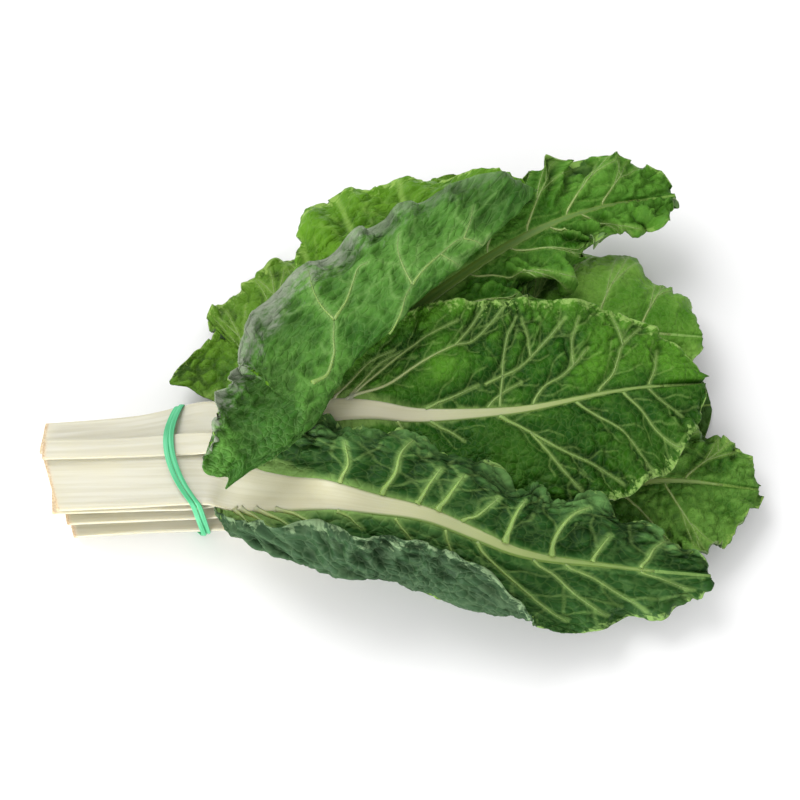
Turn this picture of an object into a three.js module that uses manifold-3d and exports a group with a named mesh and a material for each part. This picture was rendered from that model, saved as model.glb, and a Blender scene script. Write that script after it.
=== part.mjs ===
// A bunch of spinach leaves with broad white stalks, lying on its side and held by one green rubber band.
// Millimetres, +Z up. The stalks' cut ends point to -X and the leaf tips to +X.
// Each leaf is two bodies: the white stalk that runs on as the midrib, and the green blade on both its sides.
import * as THREE from "three";
import { mergeVertices } from "three/addons/utils/BufferGeometryUtils.js";
import Module from "manifold-3d";

const wasm = await Module();
wasm.setup();

// Thickness of a blade, and the crack between a blade and its own midrib.
const BLADE_THICK = 0.9;
const RIB_GAP = 0.3;
// The midrib runs to this share of the blade's length, and the two halves of the blade meet beyond it.
const RIB_END = 0.9;
// Sides of a stalk's section, and rings from its cut end to the foot of the blade.
const STALK_SIDES = 8;
const STALK_RINGS = 7;
// The share of a leaf's length over which a slanting cut evens out.
const CUT_REACH = 0.08;
// Clear height between two leaves that lie on each other, and between two stalks.
const LEAF_GAP = 3.4;
const STALK_GAP = 1.0;
// The stalks are packed by hand up to here, and the leaves lie loosely on each other from there on.
const LOOSE_FROM = -122;
const LOOSE_FULL = -92;
// Cells of the height field that the leaves are laid on, in plan.
const CELL = 3;
const FIELD = { x: -260, y: -200, nx: 180, ny: 140 };
// The rubber band: place along the stalks, section, and how far its two turns lie apart.
const BAND = { x: -141, bow: 0.0095, bowAt: -32, wide: 1.6, thick: 0.6, apart: 1.75, over: 0.8 };

const STALK_WHITE = 0xe3dfc4;
const LEAF_GREEN = 0x3f6b24;
const BAND_GREEN = 0x4fb882;

// The leaves from the lowest to the topmost.
// spine: the line of the stalk and midrib from the cut end to the tip. start: where on it the blade begins.
// stalk: half width and thickness at the cut end. slant: how far the cut runs askew, as a share of the width.
// ruffle: height, number and phase of the margin's waves. rows: cells along the blade.
// lobe: how far a half reaches back at its foot, trail: how soon across it, droop: how much of the spine's
// slope it keeps there. base: how broad the half begins. Lists of five run along the blade.
// width: greatest reach of a half. lift, bend, curl: degrees by which it rises from the midrib, folds at the
// share fold of its reach, spread within a share of it, and turns at its margin. columns: cells across it.
const LEAVES = [
  {
    name: "leaf_1",
    spine: [
      [-207, -66, 9.6], [-160, -65, 13.3], [-118, -64, 13], [-98.1, -63.7, 11], [-42, -61.1, 8],
      [20, -70.4, 6], [80, -78.4, 4.2], [131.1, -83.3, 3], [180.9, -87, 2.2],
    ],
    start: 0.52,
    stalk: [14, 10.5],
    slant: 0.3,
    ruffle: [3, 5, 0.1],
    droop: 0.3,
    trail: 1.4,
    rows: 18,
    near: {
      width: [40, 40, 40, 40, 40],
      lobe: 0.07,
      base: 0,
      lift: [0, 0, 0, 0, 0],
      bend: [10, 10, 5, 0, 0],
      curl: [0, 0, 0, 0, 0],
      fold: [0.5, 0.5, 0.5, 0.5, 0.5],
      within: 1,
      columns: [0, 0.25, 0.5, 0.75, 1],
    },
    far: {
      width: [60, 60, 60, 60, 60],
      lobe: 0.07,
      base: 0,
      lift: [-5, -5, 0, 0, 0],
      bend: [0, 0, 0, 0, 0],
      curl: [0, 0, 0, 0, 0],
      fold: [0.5, 0.5, 0.5, 0.5, 0.5],
      within: 1,
      columns: [0, 0.25, 0.5, 0.75, 1],
    },
  },
  {
    name: "leaf_2",
    spine: [
      [-211, -36.5, 9.6], [-160, -35, 13.3], [-118, -31, 13.5], [-99, -27, 12], [-42.7, -13.2, 8],
      [20.5, -5.8, 7], [86.6, 1.7, 6], [154.7, 9.7, 4], [203.5, 13.8, 2.8],
    ],
    start: 0.5,
    stalk: [14, 10.5],
    slant: 0,
    ruffle: [4, 5, 0.4],
    droop: 0.3,
    trail: 1.4,
    rows: 18,
    near: {
      width: [65, 65, 65, 65, 65],
      lobe: 0.07,
      base: 0,
      lift: [0, 0, 0, 0, 0],
      bend: [0, 0, 0, 0, 0],
      curl: [0, 0, 0, 0, 0],
      fold: [0.5, 0.5, 0.5, 0.5, 0.5],
      within: 1,
      columns: [0, 0.25, 0.5, 0.75, 1],
    },
    far: {
      width: [72, 72, 72, 72, 72],
      lobe: 0.07,
      base: 0,
      lift: [-5, -5, 0, 0, 0],
      bend: [0, 0, 0, 0, 0],
      curl: [0, 0, 0, 0, 0],
      fold: [0.5, 0.5, 0.5, 0.5, 0.5],
      within: 1,
      columns: [0, 0.25, 0.5, 0.75, 1],
    },
  },
  {
    name: "leaf_3",
    spine: [
      [-209, -60.5, 22.5], [-160, -60, 25.5], [-118, -59, 25.7], [-97, -56, 24], [-37, -62, 26],
      [31, -64, 26], [99, -57, 24], [165, -47, 22], [227, -52, 18],
    ],
    start: 0.54,
    stalk: [16, 10.5],
    slant: 0.25,
    ruffle: [6, 6, 0.7],
    droop: 0.3,
    trail: 1.4,
    rows: 24,
    near: {
      width: [62, 62, 70, 76, 76],
      lobe: 0.07,
      base: 0,
      lift: [-5, -5, -5, 0, 0],
      bend: [0, -20, -20, -10, 0],
      curl: [0, 0, 40, 60, 40],
      fold: [0.5, 0.5, 0.5, 0.5, 0.5],
      within: 1,
      columns: [0, 0.25, 0.5, 0.75, 1],
    },
    far: {
      width: [54, 54, 54, 54, 54],
      lobe: 0.07,
      base: 0,
      lift: [0, 0, 0, 5, 5],
      bend: [0, 0, 0, 10, 0],
      curl: [0, 0, -40, -60, 0],
      fold: [0.5, 0.5, 0.5, 0.5, 0.5],
      within: 1,
      columns: [0, 0.25, 0.5, 0.75, 1],
    },
  },
  {
    name: "leaf_4",
    spine: [
      [-216, -29, 22.5], [-165, -27.5, 25.5], [-118, -23, 26.2], [-116, -13, 24], [-76, 11, 28],
      [-45, 50, 32], [-14, 90, 32], [20, 133, 28], [54, 168, 22],
    ],
    start: 0.41,
    stalk: [14, 10.5],
    slant: -0.15,
    ruffle: [5, 5, 0.2],
    droop: 0.3,
    trail: 1.4,
    rows: 24,
    near: {
      width: [62, 62, 62, 62, 62],
      lobe: 0,
      base: 0,
      lift: [5, 0, 0, 0, 0],
      bend: [0, 0, 0, 0, 0],
      curl: [0, 0, 0, 0, 0],
      fold: [0.5, 0.5, 0.5, 0.5, 0.5],
      within: 1,
      columns: [0, 0.25, 0.5, 0.75, 1],
    },
    far: {
      width: [60, 72, 70, 62, 60],
      lobe: 0.18,
      base: 0.05,
      lift: [0, -15, -20, -15, 0],
      bend: [0, -10, -10, -10, 0],
      curl: [0, 0, 0, 0, 0],
      fold: [0.5, 0.5, 0.5, 0.5, 0.5],
      within: 1,
      columns: [0, 0.25, 0.5, 0.75, 1],
    },
  },
  {
    name: "leaf_5",
    spine: [
      [-214, -59, 34.5], [-160, -59, 37.5], [-118, -58, 38.2], [-97, -47, 39], [-41, -28, 42],
      [20, -2, 45], [82, 27, 42], [140, 46, 40], [196, 47, 34],
    ],
    start: 0.53,
    stalk: [15, 10],
    slant: 0.12,
    ruffle: [7, 6, 0.5],
    droop: 0.3,
    trail: 1.4,
    rows: 28,
    near: {
      width: [55, 55, 55, 55, 55],
      lobe: 0.07,
      base: 0,
      lift: [0, 0, 0, 0, 0],
      bend: [0, 0, 0, 0, 0],
      curl: [0, 0, 0, 0, 0],
      fold: [0.5, 0.5, 0.5, 0.5, 0.5],
      within: 1,
      columns: [0, 0.25, 0.5, 0.75, 1],
    },
    far: {
      width: [74, 78, 88, 104, 96],
      lobe: 0.07,
      base: 0,
      lift: [10, 8, 8, 5, 0],
      bend: [0, -10, -20, -20, -20],
      curl: [0, 0, -40, -90, -90],
      fold: [0.5, 0.5, 0.5, 0.5, 0.5],
      within: 1,
      columns: [0, 0.25, 0.5, 0.75, 1],
    },
  },
  {
    name: "leaf_6",
    spine: [
      [-217, -31.3, 34.5], [-163, -29, 37.5], [-118, -23, 39.2], [-93, -15, 43], [-43, 10, 59],
      [13, 56, 61], [70, 101, 58], [123, 128, 56], [183, 143, 50],
    ],
    start: 0.5,
    stalk: [12.5, 10],
    slant: -0.1,
    ruffle: [8, 6, 0.3],
    droop: 0.3,
    trail: 1.4,
    rows: 28,
    near: {
      width: [50, 50, 42, 36, 38],
      lobe: 0.07,
      base: 0,
      lift: [10, 15, 20, 20, 20],
      bend: [-40, -40, -60, -60, 0],
      curl: [0, 0, -60, -60, 0],
      fold: [0.5, 0.5, 0.5, 0.5, 0.5],
      within: 1,
      columns: [0, 0.25, 0.5, 0.75, 1],
    },
    far: {
      width: [50, 48, 46, 46, 50],
      lobe: 0.07,
      base: 0,
      lift: [10, 25, 30, 30, 20],
      bend: [0, -60, -80, -60, 0],
      curl: [0, 0, 60, 60, 0],
      fold: [0.5, 0.5, 0.5, 0.5, 0.5],
      within: 1,
      columns: [0, 0.25, 0.5, 0.75, 1],
    },
  },
  {
    name: "leaf_7",
    spine: [
      [-220, -28.5, 45], [-165, -24.5, 48], [-118, -17.5, 50.2], [-98, -25, 54], [-40, -20, 66],
      [15, -20, 60], [74, -14, 56], [133, -0, 52], [193, 11, 40],
    ],
    start: 0.47,
    stalk: [9.5, 10],
    slant: -0.2,
    ruffle: [4, 6, 0.15],
    droop: 0.3,
    trail: 1.4,
    rows: 30,
    near: {
      width: [72, 72, 72, 72, 72],
      lobe: 0.07,
      base: 0,
      lift: [0, -5, -5, -5, 0],
      bend: [0, 0, 0, 0, 0],
      curl: [0, 0, 0, 0, 0],
      fold: [0.5, 0.5, 0.5, 0.5, 0.5],
      within: 1,
      columns: [0, 0.25, 0.5, 0.75, 1],
    },
    far: {
      width: [72, 68, 66, 70, 72],
      lobe: 0.07,
      base: 0,
      lift: [5, 8, 8, 5, 0],
      bend: [0, 0, 0, 0, 0],
      curl: [0, 0, 0, 0, 0],
      fold: [0.5, 0.5, 0.5, 0.5, 0.5],
      within: 1,
      columns: [0, 0.25, 0.5, 0.75, 1],
    },
  },
  {
    name: "leaf_8",
    spine: [
      [-213, -59, 47.5], [-163, -59, 50.5], [-118, -59, 52.2], [-94, -65, 52], [-39, -79, 70],
      [18, -88, 65], [71, -106, 53], [126, -109, 37], [193, -113, 28],
    ],
    start: 0.365,
    stalk: [18, 11],
    slant: 0.34,
    ruffle: [4.5, 7, 0.25],
    droop: 0.3,
    trail: 1.4,
    rows: 30,
    near: {
      width: [80, 84, 72, 42, 46],
      lobe: 0.1,
      base: 0,
      lift: [-10, -25, -32, -20, -5],
      bend: [130, 165, 150, -30, -40],
      curl: [0, 0, 0, 0, 0],
      fold: [0.6, 0.57, 0.54, 0.7, 0.75],
      within: 0.3,
      columns: [0, 0.25, 0.47, 0.56, 0.64, 0.72, 0.8, 1],
    },
    far: {
      width: [48, 48, 48, 48, 48],
      lobe: 0.05,
      base: 0,
      lift: [35, 45, 42, 30, 10],
      bend: [-60, -110, -100, -60, 0],
      curl: [0, 0, 0, 0, 0],
      fold: [0.6, 0.6, 0.6, 0.6, 0.6],
      within: 0.6,
      columns: [0, 0.3, 0.5, 0.7, 1],
    },
  },
  {
    name: "leaf_9",
    spine: [
      [-218, -39, 52], [-165, -38.5, 54], [-122, -37, 57], [-91, -42, 70], [-61, -36, 83],
      [-42, 1, 84], [-3, 42, 84], [39, 83, 80], [90, 137, 70],
    ],
    start: 0.5,
    stalk: [5, 6],
    slant: 0,
    ruffle: [5, 7, 0.6],
    droop: 0.3,
    trail: 0.6,
    rows: 30,
    near: {
      width: [104, 84, 78, 78, 84],
      lobe: 0.64,
      base: 0.03,
      lift: [20, 20, 20, 20, 10],
      bend: [122, 155, 158, 150, 120],
      curl: [0, -10, -10, -10, 0],
      fold: [0.18, 0.18, 0.18, 0.18, 0.18],
      within: 0.3,
      columns: [0, 0.05, 0.12, 0.19, 0.26, 0.34, 0.65, 1],
    },
    far: {
      width: [14, 44, 98, 106, 102],
      lobe: 0.06,
      base: 0,
      lift: [0, -5, -5, -5, 0],
      bend: [0, 0, -10, -20, -20],
      curl: [-20, -20, -20, 0, 0],
      fold: [0.5, 0.5, 0.5, 0.5, 0.5],
      within: 1,
      columns: [0, 0.25, 0.5, 0.75, 1],
    },
  },
];

// A value on the smooth curve through evenly spaced values.
function along(values, at) {
  const last = values.length - 1;
  const x = THREE.MathUtils.clamp(at, 0, 1) * last;
  const i = Math.min(Math.floor(x), last - 1);
  const f = x - i;
  const a = i > 0 ? values[i - 1] : 2 * values[0] - values[1];
  const b = values[i];
  const c = values[i + 1];
  const d = i + 2 <= last ? values[i + 2] : 2 * values[last] - values[last - 1];
  const m0 = (c - a) / 2;
  const m1 = (d - b) / 2;
  const f2 = f * f;
  const f3 = f2 * f;
  return (2 * f3 - 3 * f2 + 1) * b + (f3 - 2 * f2 + f) * m0 + (3 * f2 - 2 * f3) * c + (f3 - f2) * m1;
}

// Smooth rise from 0 to 1.
function rise(x) {
  const t = THREE.MathUtils.clamp(x, 0, 1);
  return t * t * (3 - 2 * t);
}

// A leaf's midline: its point, direction, face normal and sideways direction at u.
function frameAt(leaf, u) {
  const point = (at) => new THREE.Vector3(...[0, 1, 2].map((k) => along(leaf.axes[k], at)));
  const ahead = point(Math.min(u + 0.001, 1)).sub(point(Math.max(u - 0.001, 0))).normalize();
  const face = new THREE.Vector3(0, 0, 1).addScaledVector(ahead, -ahead.z).normalize();
  return { point: point(u), ahead, face, side: new THREE.Vector3().crossVectors(face, ahead) };
}

// Half width and thickness of the stalk, and beyond the blade's foot of the tapering midrib.
function ribHalf(leaf, u) {
  const v = Math.max((u - leaf.start) / (1 - leaf.start), 0);
  if (u < leaf.start) return leaf.stalk[0] * (1 - 0.22 * (u / leaf.start));
  return 0.78 * leaf.stalk[0] * (1 - v) ** 1.6 * (1 - 0.25 * v) + 0.9;
}

function ribThick(leaf, u) {
  const v = Math.max((u - leaf.start) / (1 - leaf.start), 0);
  if (u < leaf.start) return leaf.stalk[1] * (1 - 0.15 * (u / leaf.start));
  return 0.85 * leaf.stalk[1] * (1 - v) ** 1.1 + 1.2;
}

// A point of the stalk's crescent section: hollow on top, round below. ring is 1 on the skin and 0 inside.
function stalkPoint(leaf, u, angle, ring = 1) {
  const { point, ahead, face, side } = frameAt(leaf, u);
  const r = ribHalf(leaf, u);
  const h = ribThick(leaf, u);
  const x = Math.cos(angle) * ring;
  const y = Math.sin(angle) * ring;
  const up = 0.22 * r * (x * x - 1) + (y > 0 ? 0.28 : 0.72) * h * y - (ring < 1 ? 0.2 * h : 0);
  const askew = -leaf.slant * r * x * Math.max(1 - u / CUT_REACH, 0);
  return point.addScaledVector(ahead, askew).addScaledVector(side, r * x).addScaledVector(face, up);
}

// Outline of a blade: its half width along the leaf, as a share of the greatest.
function outline(v, base) {
  return Math.max(Math.sin(Math.PI * (base + (1 - base) * v) ** 0.75), 0) ** 0.62;
}

// A point of the blade's middle surface, v along the leaf, k from the midrib to the margin, side -1 or 1.
function bladePoint(leaf, v, k, side) {
  const half = side < 0 ? leaf.near : leaf.far;
  const lobe = half.lobe * (1 - v) ** 7 * k ** leaf.trail * (1 - 0.45 * k ** 4);
  const sweep = 0.36 * v * (1 - v) * k ** 1.4 - lobe;
  const at = leaf.start + (1 - leaf.start) * (v * 0.985 + sweep);
  // Behind the blade's foot a lobe runs straight on, free of the stalk.
  const u = Math.max(at, leaf.start);
  const frame = frameAt(leaf, u);
  const back = frame.ahead.clone().multiply(new THREE.Vector3(1, 1, leaf.droop));
  frame.point.addScaledVector(back, Math.min(at - leaf.start, 0) * leaf.pace);
  const span = along(half.width, v) * outline(v, half.base) + 2;
  const lift = along(half.lift, v);
  const bend = along(half.bend, v);
  const curl = along(half.curl, v);
  const fold = along(half.fold, v);
  const slope = (s) =>
    THREE.MathUtils.degToRad(lift + bend * rise((s - fold) / half.within + 0.5) + curl * s ** 4);
  const STEPS = 20;
  let out = ribHalf(leaf, u) + RIB_GAP;
  let up = 0;
  for (let j = 0; j < STEPS; j += 1) {
    const angle = slope((k * (j + 0.5)) / STEPS);
    out += (Math.cos(angle) * span * k) / STEPS;
    up += (Math.sin(angle) * span * k) / STEPS;
  }
  const angle = slope(k);
  const wave = Math.sin(2 * Math.PI * (leaf.ruffle[1] * v + leaf.ruffle[2] + 0.17 * side));
  const ruffle = leaf.ruffle[0] * k ** 2.2 * wave * Math.sin(Math.PI * v) ** 0.4;
  return frame.point
    .addScaledVector(frame.side, side * (out - Math.sin(angle) * ruffle))
    .addScaledVector(frame.face, up + Math.cos(angle) * ruffle);
}

// The heap: the greatest height of what already lies in each cell.
const CELLS = FIELD.nx * FIELD.ny;
const heap = new Float64Array(CELLS).fill(-1000);

function cellOf(p) {
  const i = THREE.MathUtils.clamp(Math.floor((p.x - FIELD.x) / CELL), 0, FIELD.nx - 1);
  const j = THREE.MathUtils.clamp(Math.floor((p.y - FIELD.y) / CELL), 0, FIELD.ny - 1);
  return i * FIELD.ny + j;
}

// Each cell becomes what pick makes of it and its neighbours before and after, along x and then along y.
function sweepCells(field, pick) {
  for (const [step, count] of [[FIELD.ny, FIELD.nx], [1, FIELD.ny]]) {
    const old = field.slice();
    for (let c = 0; c < CELLS; c += 1) {
      const line = Math.floor(c / step) % count;
      const before = line > 0 ? c - step : c;
      const after = line < count - 1 ? c + step : c;
      field[c] = pick(old[before], old[c], old[after]);
    }
  }
  return field;
}

const widen = (field) => sweepCells(field, Math.max);
const smooth = (field) => sweepCells(field, (a, b, c) => (a + b + c) / 3);

// Height of a field at a point, between the cells' middles.
function fieldAt(field, p) {
  const x = THREE.MathUtils.clamp((p.x - FIELD.x) / CELL - 0.5, 0, FIELD.nx - 1.001);
  const y = THREE.MathUtils.clamp((p.y - FIELD.y) / CELL - 0.5, 0, FIELD.ny - 1.001);
  const i = Math.floor(x);
  const j = Math.floor(y);
  const c = i * FIELD.ny + j;
  const near = THREE.MathUtils.lerp(field[c], field[c + FIELD.ny], x - i);
  const far = THREE.MathUtils.lerp(field[c + 1], field[c + FIELD.ny + 1], x - i);
  return THREE.MathUtils.lerp(near, far, y - j);
}

// Lays a leaf on the heap: the lift that it needs at each place, spread smoothly as a limp leaf spreads it.
function layOnHeap(leaf) {
  const samples = [];
  for (let i = 0; i < 150; i += 1)
    for (let j = -60; j <= 60; j += 1)
      samples.push({
        p: bladePoint(leaf, i / 149, Math.abs(j) / 60, j < 0 ? -1 : 1),
        gap: LEAF_GAP,
        floor: 0.55,
      });
  for (let i = 0; i < 200; i += 1) {
    const u = (0.93 * i) / 199;
    const gap = STALK_GAP + (LEAF_GAP - STALK_GAP) * rise((u - 0.32) / 0.2);
    for (let j = 0; j < 32; j += 1)
      samples.push({ p: stalkPoint(leaf, u, (j * Math.PI) / 16), gap, floor: -1000 });
  }
  const top = widen(heap.slice());
  const need = new Float64Array(CELLS).fill(-1000);
  for (const { p, gap, floor } of samples) {
    const c = cellOf(p);
    need[c] = Math.max(need[c], Math.max(top[c] + gap, floor) - p.z);
  }
  const low = widen(need).map((z) => Math.max(z, 0));
  for (let c = 0; c < CELLS; c += 1) {
    const x = FIELD.x + (Math.floor(c / FIELD.ny) + 0.5) * CELL;
    low[c] *= rise((x - LOOSE_FROM) / (LOOSE_FULL - LOOSE_FROM));
  }
  let lift = low.slice();
  for (let n = 0; n < 24; n += 1) lift = smooth(lift).map((z, c) => Math.max(z, low[c]));
  leaf.heave = smooth(smooth(lift));
  for (const { p } of samples) {
    const c = cellOf(p);
    heap[c] = Math.max(heap[c], p.z + fieldAt(leaf.heave, p));
  }
}

const raise = (leaf, p) => p.setZ(p.z + fieldAt(leaf.heave, p));

// Closes a sheet of four-sided cells into a plate: both faces split alike, and a wall on each open edge.
function thicken(points, cells, thick) {
  const normals = points.map(() => new THREE.Vector3());
  for (const [a, b, c, d] of cells) {
    const across = points[c].clone().sub(points[a]).cross(points[d].clone().sub(points[b]));
    for (const k of [a, b, c, d]) normals[k].add(across);
  }
  const positions = [];
  for (const sign of [0.5, -0.5])
    points.forEach((p, k) => {
      positions.push(...p.clone().addScaledVector(normals[k].normalize(), sign * thick).toArray());
    });
  const n = points.length;
  const index = [];
  const edges = new Map();
  for (const [a, b, c, d] of cells) {
    index.push(a, b, c, a, c, d, n + a, n + c, n + b, n + a, n + d, n + c);
    for (const [p, q] of [[a, b], [b, c], [c, d], [d, a]]) {
      if (edges.has(`${q} ${p}`)) edges.delete(`${q} ${p}`);
      else edges.set(`${p} ${q}`, [p, q]);
    }
  }
  for (const [p, q] of edges.values()) index.push(p, n + q, q, p, n + p, n + q);
  return new THREE.BufferGeometry()
    .setAttribute("position", new THREE.Float32BufferAttribute(positions, 3))
    .setIndex(index);
}

// The green blade: a grid of cells on both sides of the midrib, with the crack that the midrib lies in.
function bladeGeometry(leaf) {
  const nearColumns = leaf.near.columns.map((k) => [-1, k]).reverse();
  const columns = [...nearColumns, ...leaf.far.columns.map((k) => [1, k])];
  const grid = new THREE.PlaneGeometry(1, 1, columns.length - 1, leaf.rows);
  const uv = grid.getAttribute("uv");
  const points = [];
  for (let n = 0; n < uv.count; n += 1) {
    const [side, k] = columns[Math.round(uv.getX(n) * (columns.length - 1))];
    points.push(raise(leaf, bladePoint(leaf, uv.getY(n), k, side)));
  }
  const cells = [];
  const wide = columns.length;
  const middle = leaf.near.columns.length - 1;
  for (let row = 0; row < leaf.rows; row += 1)
    for (let column = 0; column < wide - 1; column += 1) {
      const below = (row + 1) * wide + column;
      if (column === middle && leaf.rows - row - 1 < Math.round(RIB_END * leaf.rows)) continue;
      cells.push([below, below + 1, below + 1 - wide, below - wide]);
    }
  return thicken(points, cells, BLADE_THICK);
}

// Places along the leaf of the stalk's rings: even on the stalk, and level with the blade's rows beyond.
function ringPlaces(leaf) {
  const places = [];
  for (let i = 0; i < STALK_RINGS; i += 1) places.push((leaf.start * i) / STALK_RINGS);
  const last = Math.round(RIB_END * leaf.rows);
  for (let row = 0; row <= last; row += 1) {
    const v = (row - (row === last ? 0.1 : 0)) / leaf.rows;
    places.push(leaf.start + (1 - leaf.start) * 0.985 * v);
  }
  return places;
}

// The white stalk with its midrib: a closed tube whose rings follow the spine.
function stalkGeometry(leaf) {
  const places = ringPlaces(leaf);
  const tube = new THREE.CylinderGeometry(1, 1, 1, STALK_SIDES, places.length - 1);
  const at = tube.getAttribute("position");
  for (let n = 0; n < at.count; n += 1) {
    const u = places[Math.round((at.getY(n) + 0.5) * (places.length - 1))];
    const ring = Math.round(Math.hypot(at.getX(n), at.getZ(n)));
    const p = raise(leaf, stalkPoint(leaf, u, Math.atan2(at.getX(n), at.getZ(n)), ring));
    at.setXYZ(n, p.x, p.y, p.z);
  }
  return tube;
}

function toSolid(geometry) {
  const plain = geometry.clone();
  plain.deleteAttribute("normal");
  plain.deleteAttribute("uv");
  const merged = mergeVertices(plain, 1e-3);
  return new wasm.Manifold(
    new wasm.Mesh({
      numProp: 3,
      vertProperties: merged.getAttribute("position").array,
      triVerts: new Uint32Array(merged.getIndex().array),
    }),
  );
}

function fromSolid(solid) {
  const mesh = solid.getMesh();
  return new THREE.BufferGeometry()
    .setAttribute("position", new THREE.BufferAttribute(mesh.vertProperties, 3))
    .setIndex(new THREE.BufferAttribute(mesh.triVerts, 1));
}

// What would reach below the surface that the bunch lies on is pressed flat there.
const ground = toSolid(new THREE.BoxGeometry(900, 900, 50).translate(0, 0, -25));

// The line round the stalks under the band: the outline of their sections, as a taut band bridges it.
function bandLine(stations) {
  const ring = [];
  for (const leaf of LEAVES)
    for (let i = 0; i <= 40; i += 1)
      for (let j = 0; j < 32; j += 1) {
        const p = raise(leaf, stalkPoint(leaf, 0.35 * (i / 40), (j * Math.PI) / 16));
        if (Math.abs(p.x - bandX(p.y)) < 5) ring.push(p);
      }
  const taut = [];
  for (let n = 0; n < 360; n += 1) {
    const out = new THREE.Vector3(0, Math.cos((n * Math.PI) / 180), Math.sin((n * Math.PI) / 180));
    const reach = ring.reduce((best, p) => (p.dot(out) > best.dot(out) ? p : best));
    taut.push(reach.clone().setX(0).addScaledVector(out, 0.5 + BAND.thick + BAND.over));
  }
  taut.push(taut[0]);
  const lengths = [0];
  for (let n = 1; n < taut.length; n += 1) lengths.push(lengths[n - 1] + taut[n].distanceTo(taut[n - 1]));
  return Array.from({ length: stations }, (_, k) => {
    const want = (k / stations) * lengths[lengths.length - 1];
    const n = Math.max(lengths.findIndex((l) => l > want), 1);
    const f = (want - lengths[n - 1]) / (lengths[n] - lengths[n - 1]);
    return taut[n - 1].clone().lerp(taut[n], f);
  });
}

function bandX(y) {
  return BAND.x + BAND.bow * (y - BAND.bowAt) ** 2;
}

// One band in two turns: the turns lie side by side on top and swap places where they cross underneath.
function bandGeometry() {
  const TURN = 36;
  const line = bandLine(TURN);
  const loop = new THREE.TorusGeometry(1, 0.1, 8, 2 * TURN);
  const at = loop.getAttribute("position");
  const uv = loop.getAttribute("uv");
  for (let n = 0; n < at.count; n += 1) {
    const step = Math.round(uv.getX(n) * 2 * TURN) % (2 * TURN);
    const turn = (step / TURN) * Math.PI;
    const middle = line[step % TURN];
    const next = line[(step + 1) % TURN];
    const last = line[(step + TURN - 1) % TURN];
    const out = new THREE.Vector3(0, next.z - last.z, last.y - next.y).normalize();
    const round = -2 * Math.PI * uv.getY(n);
    const swap = turn - 0.75 * Math.PI;
    const beside = BAND.apart * Math.sin(swap) + BAND.wide * Math.cos(round);
    const above = BAND.over * Math.cos(swap) + BAND.thick * Math.sin(round);
    const p = middle.clone().addScaledVector(out, above);
    at.setXYZ(n, bandX(middle.y) + beside, p.y, p.z);
  }
  return loop;
}

for (const leaf of LEAVES) {
  leaf.axes = [0, 1, 2].map((k) => leaf.spine.map((p) => p[k]));
  const foot = frameAt(leaf, leaf.start - 0.01).point.distanceTo(frameAt(leaf, leaf.start + 0.01).point);
  leaf.pace = foot / 0.02;
  layOnHeap(leaf);
}

const group = new THREE.Group();
const bunch = new THREE.Group();
group.add(bunch);

function addPiece(name, geometry, color, roughness) {
  let solid = toSolid(geometry);
  geometry.computeBoundingBox();
  if (geometry.boundingBox.min.z < 0) solid = solid.subtract(ground);
  const material = new THREE.MeshStandardMaterial({ color, roughness, metalness: 0 });
  const mesh = new THREE.Mesh(fromSolid(solid), material);
  mesh.geometry.computeVertexNormals();
  mesh.name = name;
  bunch.add(mesh);
}

for (const leaf of LEAVES) {
  addPiece(`${leaf.name}_stalk`, stalkGeometry(leaf), STALK_WHITE, 0.45);
  addPiece(`${leaf.name}_blade`, bladeGeometry(leaf), LEAF_GREEN, 0.5);
}
addPiece("rubber_band", bandGeometry(), BAND_GREEN, 0.6);

// The part's origin: under the middle of the bunch, on the surface that it lies on.
const box = new THREE.Box3().setFromObject(bunch);
const middle = box.getCenter(new THREE.Vector3());
bunch.position.set(-middle.x, -middle.y, -box.min.z);

export default group;
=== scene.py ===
import math

import bmesh
import bpy
import numpy as np
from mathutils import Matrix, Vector
from mathutils.kdtree import KDTree


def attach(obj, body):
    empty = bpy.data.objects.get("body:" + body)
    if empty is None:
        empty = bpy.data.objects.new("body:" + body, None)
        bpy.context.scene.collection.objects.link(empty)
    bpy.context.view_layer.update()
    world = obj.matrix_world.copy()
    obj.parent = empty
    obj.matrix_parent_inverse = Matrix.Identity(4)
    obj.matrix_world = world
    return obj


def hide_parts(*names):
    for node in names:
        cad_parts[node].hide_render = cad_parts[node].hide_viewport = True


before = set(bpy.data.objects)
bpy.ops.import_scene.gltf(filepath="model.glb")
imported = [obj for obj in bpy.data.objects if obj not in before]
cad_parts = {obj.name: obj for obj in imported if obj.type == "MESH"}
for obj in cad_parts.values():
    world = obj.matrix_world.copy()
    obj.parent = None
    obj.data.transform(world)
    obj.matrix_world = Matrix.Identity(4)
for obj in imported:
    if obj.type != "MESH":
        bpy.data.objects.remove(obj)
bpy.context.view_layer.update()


# Camera: it stands in front of the bunch and looks down on it at 65 degrees through a long lens, as the
# photograph does. The leaves are worked out in millimetres from a point on the table under the bunch,
# which is BUNCH_ORIGIN in the frame, and the camera aims at the heap above that point.
MM = 0.001
BUNCH_ORIGIN = np.array([-1.3996, -8.6037, 0.0])
AIM_HEIGHT = 40
CAMERA_ELEVATION = 65
CAMERA_DISTANCE = 1.18
CAMERA_LENS = 85
aim = Vector((BUNCH_ORIGIN + (0, 0, AIM_HEIGHT)) * MM)
elevation = math.radians(CAMERA_ELEVATION)
towards_camera = Vector((0, -math.cos(elevation), math.sin(elevation)))
camera = bpy.data.objects.new("camera", bpy.data.cameras.new("camera"))
camera.data.lens = CAMERA_LENS
camera.location = aim + towards_camera * CAMERA_DISTANCE
camera.rotation_euler = towards_camera.to_track_quat("Z", "Y").to_euler()
bpy.context.scene.collection.objects.link(camera)
bpy.context.scene.camera = camera
bpy.context.scene.view_settings.view_transform = "Standard"


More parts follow.
